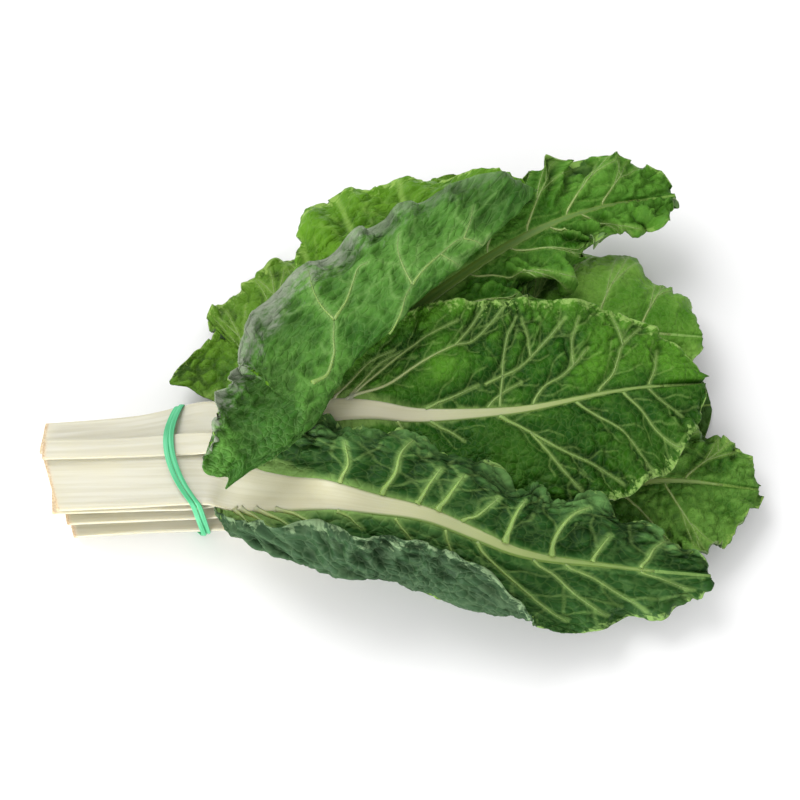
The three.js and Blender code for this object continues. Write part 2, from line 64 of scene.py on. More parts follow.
# Floor and light: the bunch lies on a plain pale table with a matt painted top. A broad soft lamp hangs
# high at the left behind it, a wide one stands in front, and a small low one at the left brings out the
# relief. The white studio round them fills the shadows.
TABLE_HALF = 4


def add_node(tree, kind, inputs=(), **settings):
    """A shader node with its inputs joined to other nodes or set to values."""
    made = tree.nodes.new(kind)
    for key, value in settings.items():
        setattr(made, key, value)
    for key, value in dict(inputs).items():
        socket = made.inputs[key]
        if isinstance(value, bpy.types.NodeSocket):
            tree.links.new(value, socket)
        else:
            socket.default_value = value
    return made


def new_material(name):
    """An empty material and its tree of nodes."""
    material = bpy.data.materials.new(name)
    material.use_nodes = True
    material.node_tree.nodes.clear()
    return material, material.node_tree


def colour(red, green, blue):
    """A colour given as it looks on a screen, 0 to 255, as the light that the shaders count in."""
    levels = [level / 255 for level in (red, green, blue)]
    return (*(((c + 0.055) / 1.055) ** 2.4 if c > 0.04 else c / 12.92 for c in levels), 1)


def finish_surface(tree, inputs):
    """Joins the shader, with what it is given, to the material's output."""
    shader = add_node(tree, "ShaderNodeBsdfPrincipled", inputs)
    add_node(tree, "ShaderNodeOutputMaterial", {"Surface": shader.outputs["BSDF"]})


bm = bmesh.new()
bmesh.ops.create_grid(bm, x_segments=1, y_segments=1, size=TABLE_HALF)
floor_mesh = bpy.data.meshes.new("table_top")
bm.to_mesh(floor_mesh)
bm.free()
floor = bpy.data.objects.new("table_top", floor_mesh)
bpy.context.scene.collection.objects.link(floor)
table_white, tree = new_material("table_white")
spots = add_node(tree, "ShaderNodeTexNoise", {"Scale": 3.0, "Detail": 2.0})
shade = add_node(tree, "ShaderNodeMapRange", {"Value": spots.outputs["Fac"], "To Min": 0.89, "To Max": 0.91})
finish_surface(tree, {"Base Color": shade.outputs["Result"], "Roughness": 0.9, "Specular IOR Level": 0.1})
floor_mesh.materials.append(table_white)


def soft_lamp(name, place, size, watts):
    """A square lamp that shines at the middle of the table."""
    lamp = bpy.data.objects.new(name, bpy.data.lights.new(name, "AREA"))
    lamp.data.size = size
    lamp.data.energy = watts
    lamp.location = place
    lamp.rotation_euler = Vector(place).to_track_quat("Z", "Y").to_euler()
    bpy.context.scene.collection.objects.link(lamp)


soft_lamp("key_lamp", (-0.6, 0.6, 1.2), 1.0, 14.5)
soft_lamp("fill_lamp", (-0.1, -1.4, 0.6), 1.6, 11)
soft_lamp("side_lamp", (-0.5, -0.7, 0.14), 0.5, 6.5)
world = bpy.data.worlds.new("studio")
world.use_nodes = True
world.node_tree.nodes["Background"].inputs["Color"].default_value = (1, 1, 1, 1)
world.node_tree.nodes["Background"].inputs["Strength"].default_value = 0.7
bpy.context.scene.world = world


# The two lowest leaves: plucked whole, they lie flat on the table under the others, hidden but for their
# cut ends. A leaf is a thick white stalk that runs on as the midrib, and a thin green blade grown from it
# on both sides. How a leaf is shaped, laid on the heap, veined and coloured is settled here for all nine.
def along(values, at):
    """Values on the smooth curve through evenly spaced ones, at places from 0 to 1."""
    v = np.asarray(values, float)
    v = v[:, None] if v.ndim == 1 else v
    last = len(v) - 1
    x = np.clip(np.asarray(at, float), 0, 1) * last
    i = np.minimum(x.astype(int), last - 1)
    f = (x - i)[..., None]
    p = np.vstack([2 * v[0] - v[1], v, 2 * v[-1] - v[-2]])
    a, b, c, d = (p[i + k] for k in range(4))
    start, end = (c - a) / 2, (d - b) / 2
    out = (2 * f**3 - 3 * f**2 + 1) * b + (f**3 - 2 * f**2 + f) * start
    out = out + (3 * f**2 - 2 * f**3) * c + (f**3 - f**2) * end
    return out if out.shape[-1] > 1 else out[..., 0]


def rise(x):
    """A soft step from 0 to 1 while x goes from 0 to 1."""
    x = np.clip(x, 0, 1)
    return x * x * (3 - 2 * x)


def frame_at(leaf, u):
    """A leaf's midline: its point, direction, face normal and sideways direction at u."""
    ahead = along(leaf["spine"], np.clip(u + 0.001, 0, 1)) - along(leaf["spine"], np.clip(u - 0.001, 0, 1))
    ahead /= np.linalg.norm(ahead, axis=-1, keepdims=True)
    face = np.array([0.0, 0.0, 1.0]) - ahead * ahead[..., 2:3]
    face /= np.linalg.norm(face, axis=-1, keepdims=True)
    return along(leaf["spine"], u), ahead, face, np.cross(face, ahead)


# From the cut end to the blade's foot a stalk loses these shares of its width and thickness. The midrib
# tapers on from there to the last two sizes, in millimetres.
NARROWED, THINNED = 0.22, 0.15
TIP_HALF, TIP_THICK = 0.9, 1.2


def rib_half(leaf, u):
    """Half width of the stalk, and beyond the blade's foot of the tapering midrib."""
    v = np.clip((u - leaf["start"]) / (1 - leaf["start"]), 0, 1)
    stalk = leaf["stalk"][0] * (1 - NARROWED * u / leaf["start"])
    midrib = (1 - NARROWED) * leaf["stalk"][0] * (1 - v) ** 1.6 * (1 - 0.25 * v) + TIP_HALF
    return np.where(u < leaf["start"], stalk, midrib)


def rib_thick(leaf, u):
    """Thickness of the stalk and of the midrib."""
    v = np.clip((u - leaf["start"]) / (1 - leaf["start"]), 0, 1)
    stalk = leaf["stalk"][1] * (1 - THINNED * u / leaf["start"])
    midrib = (1 - THINNED) * leaf["stalk"][1] * (1 - v) ** 1.1 + TIP_THICK
    return np.where(u < leaf["start"], stalk, midrib)


# The hollow along a stalk is this share of its half width deep, this share of its thickness is above its
# middle, and the slant of its cut end fades out over this share of its length.
HOLLOW, TOP_SHARE, CUT_REACH = 0.22, 0.28, 0.08


def stalk_point(leaf, u, angle, ring=1.0, proud=0.0):
    """A point of the stalk's crescent section: hollow on top, round below."""
    u, angle = np.broadcast_arrays(np.asarray(u, float), np.asarray(angle, float))
    point, ahead, face, side = frame_at(leaf, u)
    r, h = rib_half(leaf, u), rib_thick(leaf, u)
    x, y = np.cos(angle) * ring, np.sin(angle) * ring
    up = HOLLOW * r * (x * x - 1) + np.where(y > 0, TOP_SHARE, 1 - TOP_SHARE) * h * y
    askew = -leaf["slant"] * r * x * np.maximum(1 - u / CUT_REACH, 0)
    point = point + ahead * askew[..., None]
    return point + side * ((r + proud) * x)[..., None] + face * (up + proud * y)[..., None]


def half_value(leaf, key, v, q):
    """What is set for the blade's near or far half, at v along the leaf."""
    near, far = (np.full(5, leaf[side][key]) for side in ("near", "far"))
    return np.where(q < 0, along(near, v), along(far, v))


# The blade's middle ends at this share of the way from its foot to the end of the leaf's midline.
BLADE_REACH = 0.985


def blade_place(leaf, v, q):
    """Where a spot of the blade lies along the spine, and how wide its half is there; q is -1 to 1."""
    k = np.abs(q)
    lobe = half_value(leaf, "lobe", v, q) * (1 - v) ** 7 * k ** leaf["trail"] * (1 - 0.45 * k**4)
    at = leaf["start"] + (1 - leaf["start"]) * (v * BLADE_REACH + 0.36 * v * (1 - v) * k**1.4 - lobe)
    base = half_value(leaf, "base", v, q)
    outline = np.maximum(np.sin(np.pi * np.maximum(base + (1 - base) * v, 0) ** 0.75), 0) ** 0.62
    return at, half_value(leaf, "width", v, q) * outline + 2


# A blade starts this far from the midrib, in millimetres. A lobe that reaches back past the blade's foot
# follows only a share of the stalk's own slope.
RIB_GAP, LOBE_DROOP = 0.3, 0.3
SLOPE_STEPS = 20


def blade_point(leaf, v, q, inset=0.0):
    """A point of the blade's middle surface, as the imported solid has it, before the leaf is laid."""
    v, q = np.broadcast_arrays(np.asarray(v, float), np.asarray(q, float))
    side = np.where(q < 0, -1.0, 1.0)
    k = np.abs(q)
    at, span = blade_place(leaf, v, q)
    u = np.maximum(at, leaf["start"])
    point, ahead, face, sideways = frame_at(leaf, u)
    behind = np.minimum(at - leaf["start"], 0) * leaf["pace"]
    point = point + ahead * (1.0, 1.0, LOBE_DROOP) * behind[..., None]
    lift, bend, curl, fold, within = (
        half_value(leaf, key, v, q) for key in ("lift", "bend", "curl", "fold", "within")
    )

    def slope(x):
        return np.radians(lift + bend * rise((x - fold) / within + 0.5) + curl * x**4)

    out, up = rib_half(leaf, u) + RIB_GAP, 0.0
    for j in range(SLOPE_STEPS):
        angle = slope(k * (j + 0.5) / SLOPE_STEPS)
        out = out + np.cos(angle) * span * k / SLOPE_STEPS
        up = up + np.sin(angle) * span * k / SLOPE_STEPS
    out = out - np.minimum(inset, 0.6 * rib_half(leaf, u)) * np.clip(1 - k / 0.05, 0, 1)
    angle = slope(k)
    height, waves, phase = leaf["ruffle"]
    wave = np.sin(2 * np.pi * (waves * v + phase + 0.17 * side))
    ruffle = height * k**2.2 * wave * np.maximum(np.sin(np.pi * v), 0) ** 0.4
    out = side * (out - np.sin(angle) * ruffle)
    return point + sideways * out[..., None] + face * (up + np.cos(angle) * ruffle)[..., None]


# The heap's top, in millimetres above the table, in square cells.
CELL = 3.0
FIELD_X, FIELD_Y, FIELD_NX, FIELD_NY = -260.0, -200.0, 180, 140
NOTHING_THERE = -1000.0
heap = np.full((FIELD_NX, FIELD_NY), NOTHING_THERE)


def sweep_cells(a, pick):
    """Each cell picked from itself and its two neighbours, along one way and then the other."""
    a = pick(np.concatenate([a[:1], a[:-1]]), a, np.concatenate([a[1:], a[-1:]]))
    return pick(np.concatenate([a[:, :1], a[:, :-1]], 1), a, np.concatenate([a[:, 1:], a[:, -1:]], 1))


def widen(field):
    """Each cell as high as its highest neighbour."""
    return sweep_cells(field, lambda b, c, d: np.maximum(np.maximum(b, c), d))


def smooth(field):
    """Each cell evened out with its neighbours."""
    return sweep_cells(field, lambda b, c, d: (b + c + d) / 3)


def field_at(field, p):
    """What the field says at points that lie between the middles of its cells."""
    x = np.clip((p[..., 0] - FIELD_X) / CELL - 0.5, 0, FIELD_NX - 1.001)
    y = np.clip((p[..., 1] - FIELD_Y) / CELL - 0.5, 0, FIELD_NY - 1.001)
    i, j = x.astype(int), y.astype(int)
    fx, fy = x - i, y - j
    near = field[i, j] * (1 - fx) + field[i + 1, j] * fx
    return near * (1 - fy) + (field[i, j + 1] * (1 - fx) + field[i + 1, j + 1] * fx) * fy


# The gaps that are left over the table, between blades and between stalks, before the relief is added.
# Leaves are free to be raised only past the band, from LOOSE_FROM on and in full from LOOSE_FULL on.
TABLE_GAP, LEAF_GAP, STALK_GAP = 0.55, 3.4, 1.0
LOOSE_FROM, LOOSE_FULL = -122.0, -92.0
SPREAD_STEPS = 24


def lay_on_heap(leaf):
    """The lift that the leaf needs at each place to lie on what is there already, spread smoothly."""
    v, q = np.meshgrid(np.arange(150) / 149, np.arange(-60, 61) / 60, indexing="ij")
    spots = blade_point(leaf, v, q).reshape(-1, 3)
    u, a = np.meshgrid(0.93 * np.arange(200) / 199, np.arange(32) * np.pi / 16, indexing="ij")
    rings = stalk_point(leaf, u, a).reshape(-1, 3)
    ring_gap = (STALK_GAP + (LEAF_GAP - STALK_GAP) * rise((u - 0.32) / 0.2)).ravel()
    gap = np.concatenate([np.full(len(spots), LEAF_GAP), ring_gap])
    lowest = np.concatenate([np.full(len(spots), TABLE_GAP), np.full(len(rings), NOTHING_THERE)])
    p = np.vstack([spots, rings])
    i = np.clip(((p[:, 0] - FIELD_X) / CELL).astype(int), 0, FIELD_NX - 1)
    j = np.clip(((p[:, 1] - FIELD_Y) / CELL).astype(int), 0, FIELD_NY - 1)
    top = widen(heap)
    need = np.full((FIELD_NX, FIELD_NY), NOTHING_THERE)
    np.maximum.at(need, (i, j), np.maximum(top[i, j] + gap, lowest) - p[:, 2])
    middle = FIELD_X + (np.arange(FIELD_NX) + 0.5) * CELL
    low = np.maximum(widen(need), 0) * rise((middle - LOOSE_FROM) / (LOOSE_FULL - LOOSE_FROM))[:, None]
    lift = low
    for _ in range(SPREAD_STEPS):
        lift = np.maximum(low, smooth(lift))
    leaf["heave"] = smooth(smooth(lift))
    np.maximum.at(heap, (i, j), p[:, 2] + field_at(leaf["heave"], p))


def heaved(leaf, p):
    """The points raised with the leaf as it lies on the heap."""
    return p + field_at(leaf["heave"], p)[..., None] * (0, 0, 1)


# The tables of random numbers repeat after so many cells.
REPEAT = 64


def noise(x, y, seed):
    """Smooth random hills from -1 to 1, about one unit across."""
    table = np.random.default_rng(seed).uniform(-1, 1, (REPEAT, REPEAT))
    i, j = np.floor(x).astype(int), np.floor(y).astype(int)
    fx, fy = rise(x - i), rise(y - j)
    a, b, c, d = (table[(i + m) % REPEAT, (j + n) % REPEAT] for n in (0, 1) for m in (0, 1))
    return (a * (1 - fx) + b * fx) * (1 - fy) + (c * (1 - fx) + d * fx) * fy


def bubbles(x, y, seed):
    """Rounded bulges from 0 to 1 with narrow valleys between, about one unit across."""
    table = np.random.default_rng(seed).uniform(0.05, 0.95, (2, REPEAT, REPEAT))
    i, j = np.floor(x).astype(int), np.floor(y).astype(int)
    found = []
    for a in (i - 1, i, i + 1):
        for b in (j - 1, j, j + 1):
            spot = table[:, a % REPEAT, b % REPEAT]
            found.append(np.hypot(a + spot[0] - x, b + spot[1] - y))
    first, second = np.sort(found, axis=0)[:2]
    return rise((second - first) / 0.7) * (1 - 0.35 * first)


def flat_place(leaf, v, q):
    """A spot's place on the leaf laid out flat, in millimetres along and across."""
    at, span = blade_place(leaf, v, q)
    beside_rib = 0.7 * rib_half(leaf, np.maximum(at, leaf["start"]))
    return at * leaf["pace"], q * span + np.sign(q) * beside_rib


# Where each half begins beside the midrib, as a share of its width.
AT_RIB = 1e-4


def blade_normal(leaf, v, q):
    """The way that the laid blade faces, from points a small step away on the same half."""
    step = 0.004
    inner = np.where(q < 0, np.minimum(q + step, -AT_RIB), q + step)
    outer = np.where(q < 0, q - step, np.maximum(q - step, AT_RIB))
    after, before = np.minimum(v + step, 1), np.maximum(v - step, 0)
    run = heaved(leaf, blade_point(leaf, after, q)) - heaved(leaf, blade_point(leaf, before, q))
    across = heaved(leaf, blade_point(leaf, v, inner)) - heaved(leaf, blade_point(leaf, v, outer))
    normal = np.cross(run, across)
    return normal / np.linalg.norm(normal, axis=-1, keepdims=True)


def crumple(leaf, v, q, from_vein, from_small):
    """Height of the blade's relief in millimetres: bulges between the veins, folds and a frilled margin.

    A leaf's relief gives how far it puffs up between the veins, and how high its pleats, broad swells,
    bubbles, fine grain and marginal frill are.
    """
    x, y = flat_place(leaf, v, q)
    k, seed = np.abs(q), leaf["seed"]
    reliefs = zip(leaf.get("near_relief", leaf["relief"]), leaf["relief"])
    puff, pleat, swell, bubble, fine, frill = (np.where(q < 0, near, far) for near, far in reliefs)
    begin, still = leaf["smoother"]
    smoothed = still * rise((v - begin) / 0.2)
    rough = (0.55 + 0.6 * rise(k / 0.8)) * (1 - smoothed)
    pleat, bubble, frill = pleat * rough, bubble * rough, frill * (1 - 0.5 * smoothed)
    free = rise(k / 0.3)
    calm = rise(from_vein / 3.5)
    x_bent, y_bent = (
        flat + 4 * noise(x / 23, y / 23, seed + broad) + 1.2 * noise(x / 7, y / 7, seed + small)
        for flat, broad, small in ((x, 9, 12), (y, 10, 13))
    )
    height = puff * (1 - np.exp(-((from_vein / 6) ** 2))) * (1 + 0.5 * noise(x_bent / 17, y_bent / 17, seed))
    height = height + 0.35 * np.abs(puff) * (1 - np.exp(-((from_small / 2.5) ** 2))) * calm
    slanted = noise((x_bent - 0.8 * np.abs(y_bent)) / 11, np.abs(y_bent) / 38, seed + 11)
    folds = 1 - 2 * np.abs(slanted) ** 0.8
    height = height + pleat * (folds - 0.6) * free
    height = height + swell * free * noise(x_bent / 28, y_bent / 28, seed + 1)
    uneven = 1 + 0.7 * noise(x / 31, y / 31, seed + 2)
    height = height + bubble * uneven * calm * (bubbles(x_bent / 10, y_bent / 8.5, seed + 14) - 0.5)
    height = height + 0.35 * bubble * calm * (bubbles(x_bent / 4.6, y_bent / 4.2, seed + 15) - 0.5)
    height = height + fine * calm * noise(x_bent / 3.2, y_bent / 3.2, seed + 3)
    wave = np.sin(2 * np.pi * (x / 21 + 0.8 * noise(x / 40, y / 90, seed + 4)))
    edge = frill * (k**5 * wave + 0.35 * k**8 * noise(x / 6.5, y / 12, seed + 5))
    return rise(k / 0.06) * height + edge


def scalloped(leaf, v, q):
    """The margin isn't an even line: its waves also reach out and draw in."""
    x, side = flat_place(leaf, v, q)[0], np.sign(q) * 7
    wave = 0.8 * noise(x / 14, side, leaf["seed"] + 6) + 0.2 * noise(x / 6, side, leaf["seed"] + 7)
    return q * (1 + leaf["scallop"] * np.abs(q) ** 4 * wave)


def blade_surface(leaf, v, q, from_vein, from_small):
    """The blade's skin as it lies, with its relief, its nibs at the foot and its bays in the margin."""
    foot, reach = v, scalloped(leaf, v, q)
    for at, wide, shift in leaf["nibs"]:
        foot = foot + shift * np.exp(-(((q - at) / wide) ** 2)) * rise(1 - v / 0.08)
    for side, at, wide, grown in leaf["bays"]:
        reach = reach * (1 + grown * np.exp(-(((v - at) / wide) ** 2)) * np.clip(q * side, 0, 1) ** 4)
    point = heaved(leaf, blade_point(leaf, foot, reach, inset=leaf["under_rib"]))
    return point + blade_normal(leaf, v, q) * crumple(leaf, v, q, from_vein, from_small)[..., None]


# Where a blade is narrower than this, in millimetres, its veins run as if it were as wide.
NARROWEST = 15


def side_branches(leaf, line, q, random):
    """Thin veins that leave a big one to its left and right in turn, bend forward and fade out."""
    made = []
    x_scale = leaf["pace"] * (1 - leaf["start"])
    y_scale = np.maximum(blade_place(leaf, line, q)[1], NARROWEST)
    dx, dy = np.gradient(line) * x_scale, np.gradient(q) * y_scale
    length = np.concatenate([[0], np.cumsum(np.hypot(dx, dy)[1:])])
    at, side = random.uniform(4, 8), random.choice((-1, 1))
    while at < length[-1] - 2:
        i = int(np.searchsorted(length, at))
        s = np.linspace(0, 1, 24)
        bend = side * np.radians(random.uniform(50, 70) - 45 * s)
        bend = bend + 0.25 * np.sin(9 * s + random.uniform(0, 6))
        turn = np.arctan2(dy[i], dx[i]) + bend
        reach = random.uniform(12, 24) / 23
        x, y = (np.concatenate([[0], np.cumsum(step[1:])]) * reach for step in (np.cos(turn), np.sin(turn)))
        branch_q = np.clip(q[i] + y / y_scale[i], *((-0.96, -0.01) if q[i] < 0 else (0.01, 0.96)))
        made.append((np.clip(line[i] + x / x_scale, 0.004, 0.985), branch_q))
        at, side = at + random.uniform(6, 11), -side
    return made


# Laterals run forward by about this share of the blade's length on their way to the margin.
LEAD = 0.3
# A drawn vein of size 1 is about this thick at its foot, in millimetres, and never thinner than the second.
VEIN_HALF, VEIN_LEAST = 0.64, 0.11


def vein_paths(leaf):
    """The big veins, each as its v, q, radius and greenness along it, and the small ones' v and q.

    Laterals leave the midrib broad and cream, run forward to the margin and fork. Thin veins cross between.
    On a leaf that shows well its laterals are placed one by one instead, and thin veins branch off them.
    """
    random = np.random.default_rng(leaf["seed"] + 50)
    big, small = [], []
    x_scale = leaf["pace"] * (1 - leaf["start"])
    for size, *stops in leaf["drawn"]:
        line, q = along(stops, np.linspace(0, 1, 12 * len(stops))).T
        span = np.maximum(blade_place(leaf, line, q)[1], NARROWEST)
        run = np.hypot(np.diff(line) * x_scale, np.diff(q) * span[1:])
        t = np.linspace(0, 1, int(run.sum() / 1.2) + 6)
        line, q = along(stops, t).T
        radius = VEIN_HALF * size * (1 - 0.93 * t**1.4) * (1 + 0.5 * rise(1 - t / 0.15)) + VEIN_LEAST
        up_rib, aside = line[0], abs(q[0])
        begin = max(leaf["vein_green"] * rise(up_rib / 0.25), rise(up_rib / 0.3), rise((aside - 0.06) / 0.3))
        big.append((line, q, radius, begin + (1.1 - begin) * t**0.5))
        small += side_branches(leaf, line, q, random)
    if leaf["drawn"]:
        return big, small

    for side in (-1, 1):
        count = leaf["laterals"]
        feet = 0.02 + 0.84 * (np.arange(count) + 0.25 * (side + 1)) / count
        feet = feet + random.uniform(-0.012, 0.012, count)
        rows = []
        for foot in feet:
            lead = LEAD * random.uniform(0.8, 1.2)
            t = np.linspace(0, 1, 50)
            k = 0.95 * t
            wobble = 0.008 * np.sin(5 * t + random.uniform(0, 6)) * t
            line = foot + (lead * (k - 0.35 * k**2) + wobble) * min(1.0, 1.15 - foot)
            line = np.clip(line, 0.004, 0.99 - 0.02 * (1 - t))
            rows.append((k, line))
            size = leaf["vein"] * (1 - 0.6 * foot)
            radius = (size * (1 - t) ** 1.5 + 0.32 * (1 - 0.5 * t)) * (0.35 + 0.65 * rise(t / 0.08))
            big.append((line, side * k, radius, 0.7 + 0.4 * t**0.6))
            for turn, begin in ((-1, 0.36), (1, 0.52), (-1, 0.68)):
                begin = begin + random.uniform(-0.07, 0.07)
                s = np.linspace(0, 1, 16)
                fork_k = 0.95 * begin + 0.95 * (1 - begin) * s * random.uniform(0.8, 1.0)
                aside = turn * random.uniform(0.035, 0.06) * s**0.85 * (1 - 0.5 * foot)
                fork = np.interp(fork_k, k, line) + aside
                radius = 0.45 * size * (1 - begin) ** 1.5 * (1 - s) + 0.26 * (1 - 0.4 * s)
                big.append((np.clip(fork, 0.003, 0.988), side * fork_k, radius, 0.95 + 0.15 * s))
        for (k, line), (k_next, line_next) in zip(rows, rows[1:]):
            for step in np.linspace(0.1, 0.92, leaf["ladders"]):
                begin = step + random.uniform(-0.05, 0.05)
                end = np.clip(begin + random.uniform(-0.14, 0.06), 0.04, 0.93)
                s = np.linspace(0, 1, 24)
                at = begin + (end - begin) * s + 0.02 * np.sin(np.pi * 2 * s + random.uniform(0, 6))
                low, high = np.interp(at, k, line), np.interp(at, k_next, line_next)
                small.append((low + (high - low) * s, side * at))
    return big, small


def distances(leaf, paths, v, q):
    """How far each spot lies from the nearest vein, in millimetres on the flat leaf."""
    samples = np.concatenate([np.stack(flat_place(leaf, *path[:2]), -1) for path in paths])
    tree = KDTree(len(samples))
    for n, (x, y) in enumerate(samples):
        tree.insert((x, y, 0), n)
    tree.balance()
    x, y = flat_place(leaf, v, q)
    found = [tree.find((a, b, 0))[2] for a, b in zip(x.ravel().tolist(), y.ravel().tolist())]
    return np.array(found).reshape(x.shape)


# No corner lies lower than this, in metres.
ABOVE_TABLE = 0.0001


def shaped_grid(bm, points, layers, flat, drop=None):
    """Adds a grid of cells with its corners at the given points, and writes each corner's values.

    Cells that drop names are left out again.
    """
    rows, columns = points.shape[:2]
    for name in layers:
        if name not in bm.verts.layers.float:
            bm.verts.layers.float.new(name)
    uv = bm.loops.layers.uv.get("flat") or bm.loops.layers.uv.new("flat")
    made = bmesh.ops.create_grid(bm, x_segments=rows - 1, y_segments=columns - 1, size=1)
    verts = made["verts"]
    places = np.array([vert.co[:2] for vert in verts])
    i = np.rint((places[:, 0] + 1) / 2 * (rows - 1)).astype(int)
    j = np.rint((places[:, 1] + 1) / 2 * (columns - 1)).astype(int)
    place = (points[i, j] + BUNCH_ORIGIN) * MM
    place[:, 2] = np.maximum(place[:, 2], ABOVE_TABLE)
    for vert, co in zip(verts, place.tolist()):
        vert.co = co
    for name, values in layers.items():
        layer = bm.verts.layers.float[name]
        for vert, value in zip(verts, np.broadcast_to(values, (rows, columns))[i, j].tolist()):
            vert[layer] = value
    spot = dict(zip(verts, (flat[i, j] * MM).tolist()))
    cell = dict(zip(verts, zip(i.tolist(), j.tolist())))
    faces = {face for vert in verts for face in vert.link_faces}
    gone = []
    for face in faces:
        face.smooth = True
        if drop is not None and drop(*(min(cell[vert][n] for vert in face.verts) for n in (0, 1))):
            gone.append(face)
            continue
        for loop in face.loops:
            loop[uv].uv = spot[loop.vert]
    bmesh.ops.delete(bm, geom=gone, context="FACES")


def new_piece(name, bm, materials, node):
    """Makes a finished piece of the mesh, fixed to the bunch in its solid's place."""
    mesh = bpy.data.meshes.new(name)
    bm.to_mesh(mesh)
    bm.free()
    for material in materials:
        mesh.materials.append(material)
    piece = bpy.data.objects.new(name, mesh)
    bpy.context.scene.collection.objects.link(piece)
    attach(piece, "root")
    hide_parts(node)
    return piece


# How thick a blade is, and how deep the veins start inside the midrib, in millimetres.
BLADE_THICK, SUNK = 0.5, 0.6


def tube_rows(leaf, paths):
    """Rings round every vein, closed to a point at each end; their greenness, and each vein's last row."""
    rings, greens, ends, total = [], [], set(), 0
    angle = np.linspace(0, 2 * np.pi, 7)
    cosine, sine = np.cos(angle)[None, :, None], 0.75 * np.sin(angle)[None, :, None]
    for line, q, radius, green in paths:
        line, q, green = (np.r_[values[:1], values, values[-1:]] for values in (line, q, green))
        radius = np.r_[0, radius, 0]
        point = blade_surface(leaf, line, q, np.zeros(len(line)), np.zeros(len(line)))
        normal = blade_normal(leaf, line, q)
        ahead = np.gradient(point, axis=0)
        ahead[0], ahead[-1] = ahead[1], ahead[-2]
        side = np.cross(ahead, normal)
        side /= np.linalg.norm(side, axis=-1, keepdims=True)
        out = leaf["vein_side"] * (0.2 * radius + 0.5 * BLADE_THICK) - SUNK * rise(1 - np.abs(q) / 0.025)
        point = point + normal * out[:, None]
        ring = side[:, None] * cosine + normal[:, None] * sine
        rings.append(point[:, None] + ring * radius[:, None, None])
        greens.append(green)
        total += len(line)
        ends.add(total - 1)
    return np.concatenate(rings), np.concatenate(greens)[:, None], ends


def stalk_skin(leaf, u, angle):
    """Fine ribs along a stalk, in millimetres: they stand out on its round side and fade on the midrib."""
    around = angle * 7.5
    stripe = noise(around * 1.1, u * 9 + 3, leaf["seed"] + 20)
    stripe = stripe + 0.5 * noise(around * 2.3, u * 17, leaf["seed"] + 21)
    return 0.15 * stripe * (1 - 0.6 * rise((u - leaf["start"]) / 0.2))


# Where the solid midrib ends, as a share of the way from the blade's foot to its tip.
RIB_END = 0.9


def make_blade(leaf, big_veins, small_veins):
    """The green blade: one grid over both halves, open along the midrib, with the thickness of a leaf."""
    rows, columns = leaf["grid"]
    near_width, far_width = np.mean(leaf["near"]["width"]), np.mean(leaf["far"]["width"])
    near = round(columns * near_width / (near_width + far_width))
    q = np.r_[-np.linspace(1, AT_RIB, near), np.linspace(AT_RIB, 1, columns - near)]
    v, q = np.meshgrid(np.linspace(0, 1, rows), q, indexing="ij")
    from_rib = np.abs(q) * blade_place(leaf, v, q)[1] / np.maximum(1.1 - v, 0.1) ** 1.5
    from_vein = np.minimum(distances(leaf, big_veins, v, q), from_rib + 0.5)
    from_small = distances(leaf, small_veins or big_veins, v, q)
    relief = crumple(leaf, v, q, from_vein, from_small)
    # Painted shade, as a share: the whole near half, and on the far half a band beside the midrib, are
    # darkened as if they lay in shadow.
    near_shade, far_shade = leaf["shade"]
    shaded = near_shade * rise(-q / 0.15) + far_shade * rise(q / 0.1) * rise((0.65 - q) / 0.25)
    layers = {
        "vein": from_vein,
        "small": from_small,
        "rib": from_rib,
        "foot": 1 - v,
        "margin": np.abs(q),
        "shade": shaded,
        "height": (relief - relief.mean()) / relief.std(),
    }
    bm = bmesh.new()
    flat = np.stack(flat_place(leaf, v, q), -1)
    slit = RIB_END * (rows - 1) - 2
    points = blade_surface(leaf, v, q, from_vein, from_small)
    shaped_grid(bm, points, layers, flat, lambda row, column: column == near - 1 and row < slit)
    blade = new_piece(leaf["name"] + "_green", bm, leaf["greens"], leaf["name"] + "_blade")
    plate = blade.modifiers.new("thickness", "SOLIDIFY")
    plate.thickness = BLADE_THICK * MM
    plate.offset = 0
    plate.material_offset = 1
    plate.material_offset_rim = 1


# Corners that lie closer than this, in metres, are made one.
MERGED = 1e-6


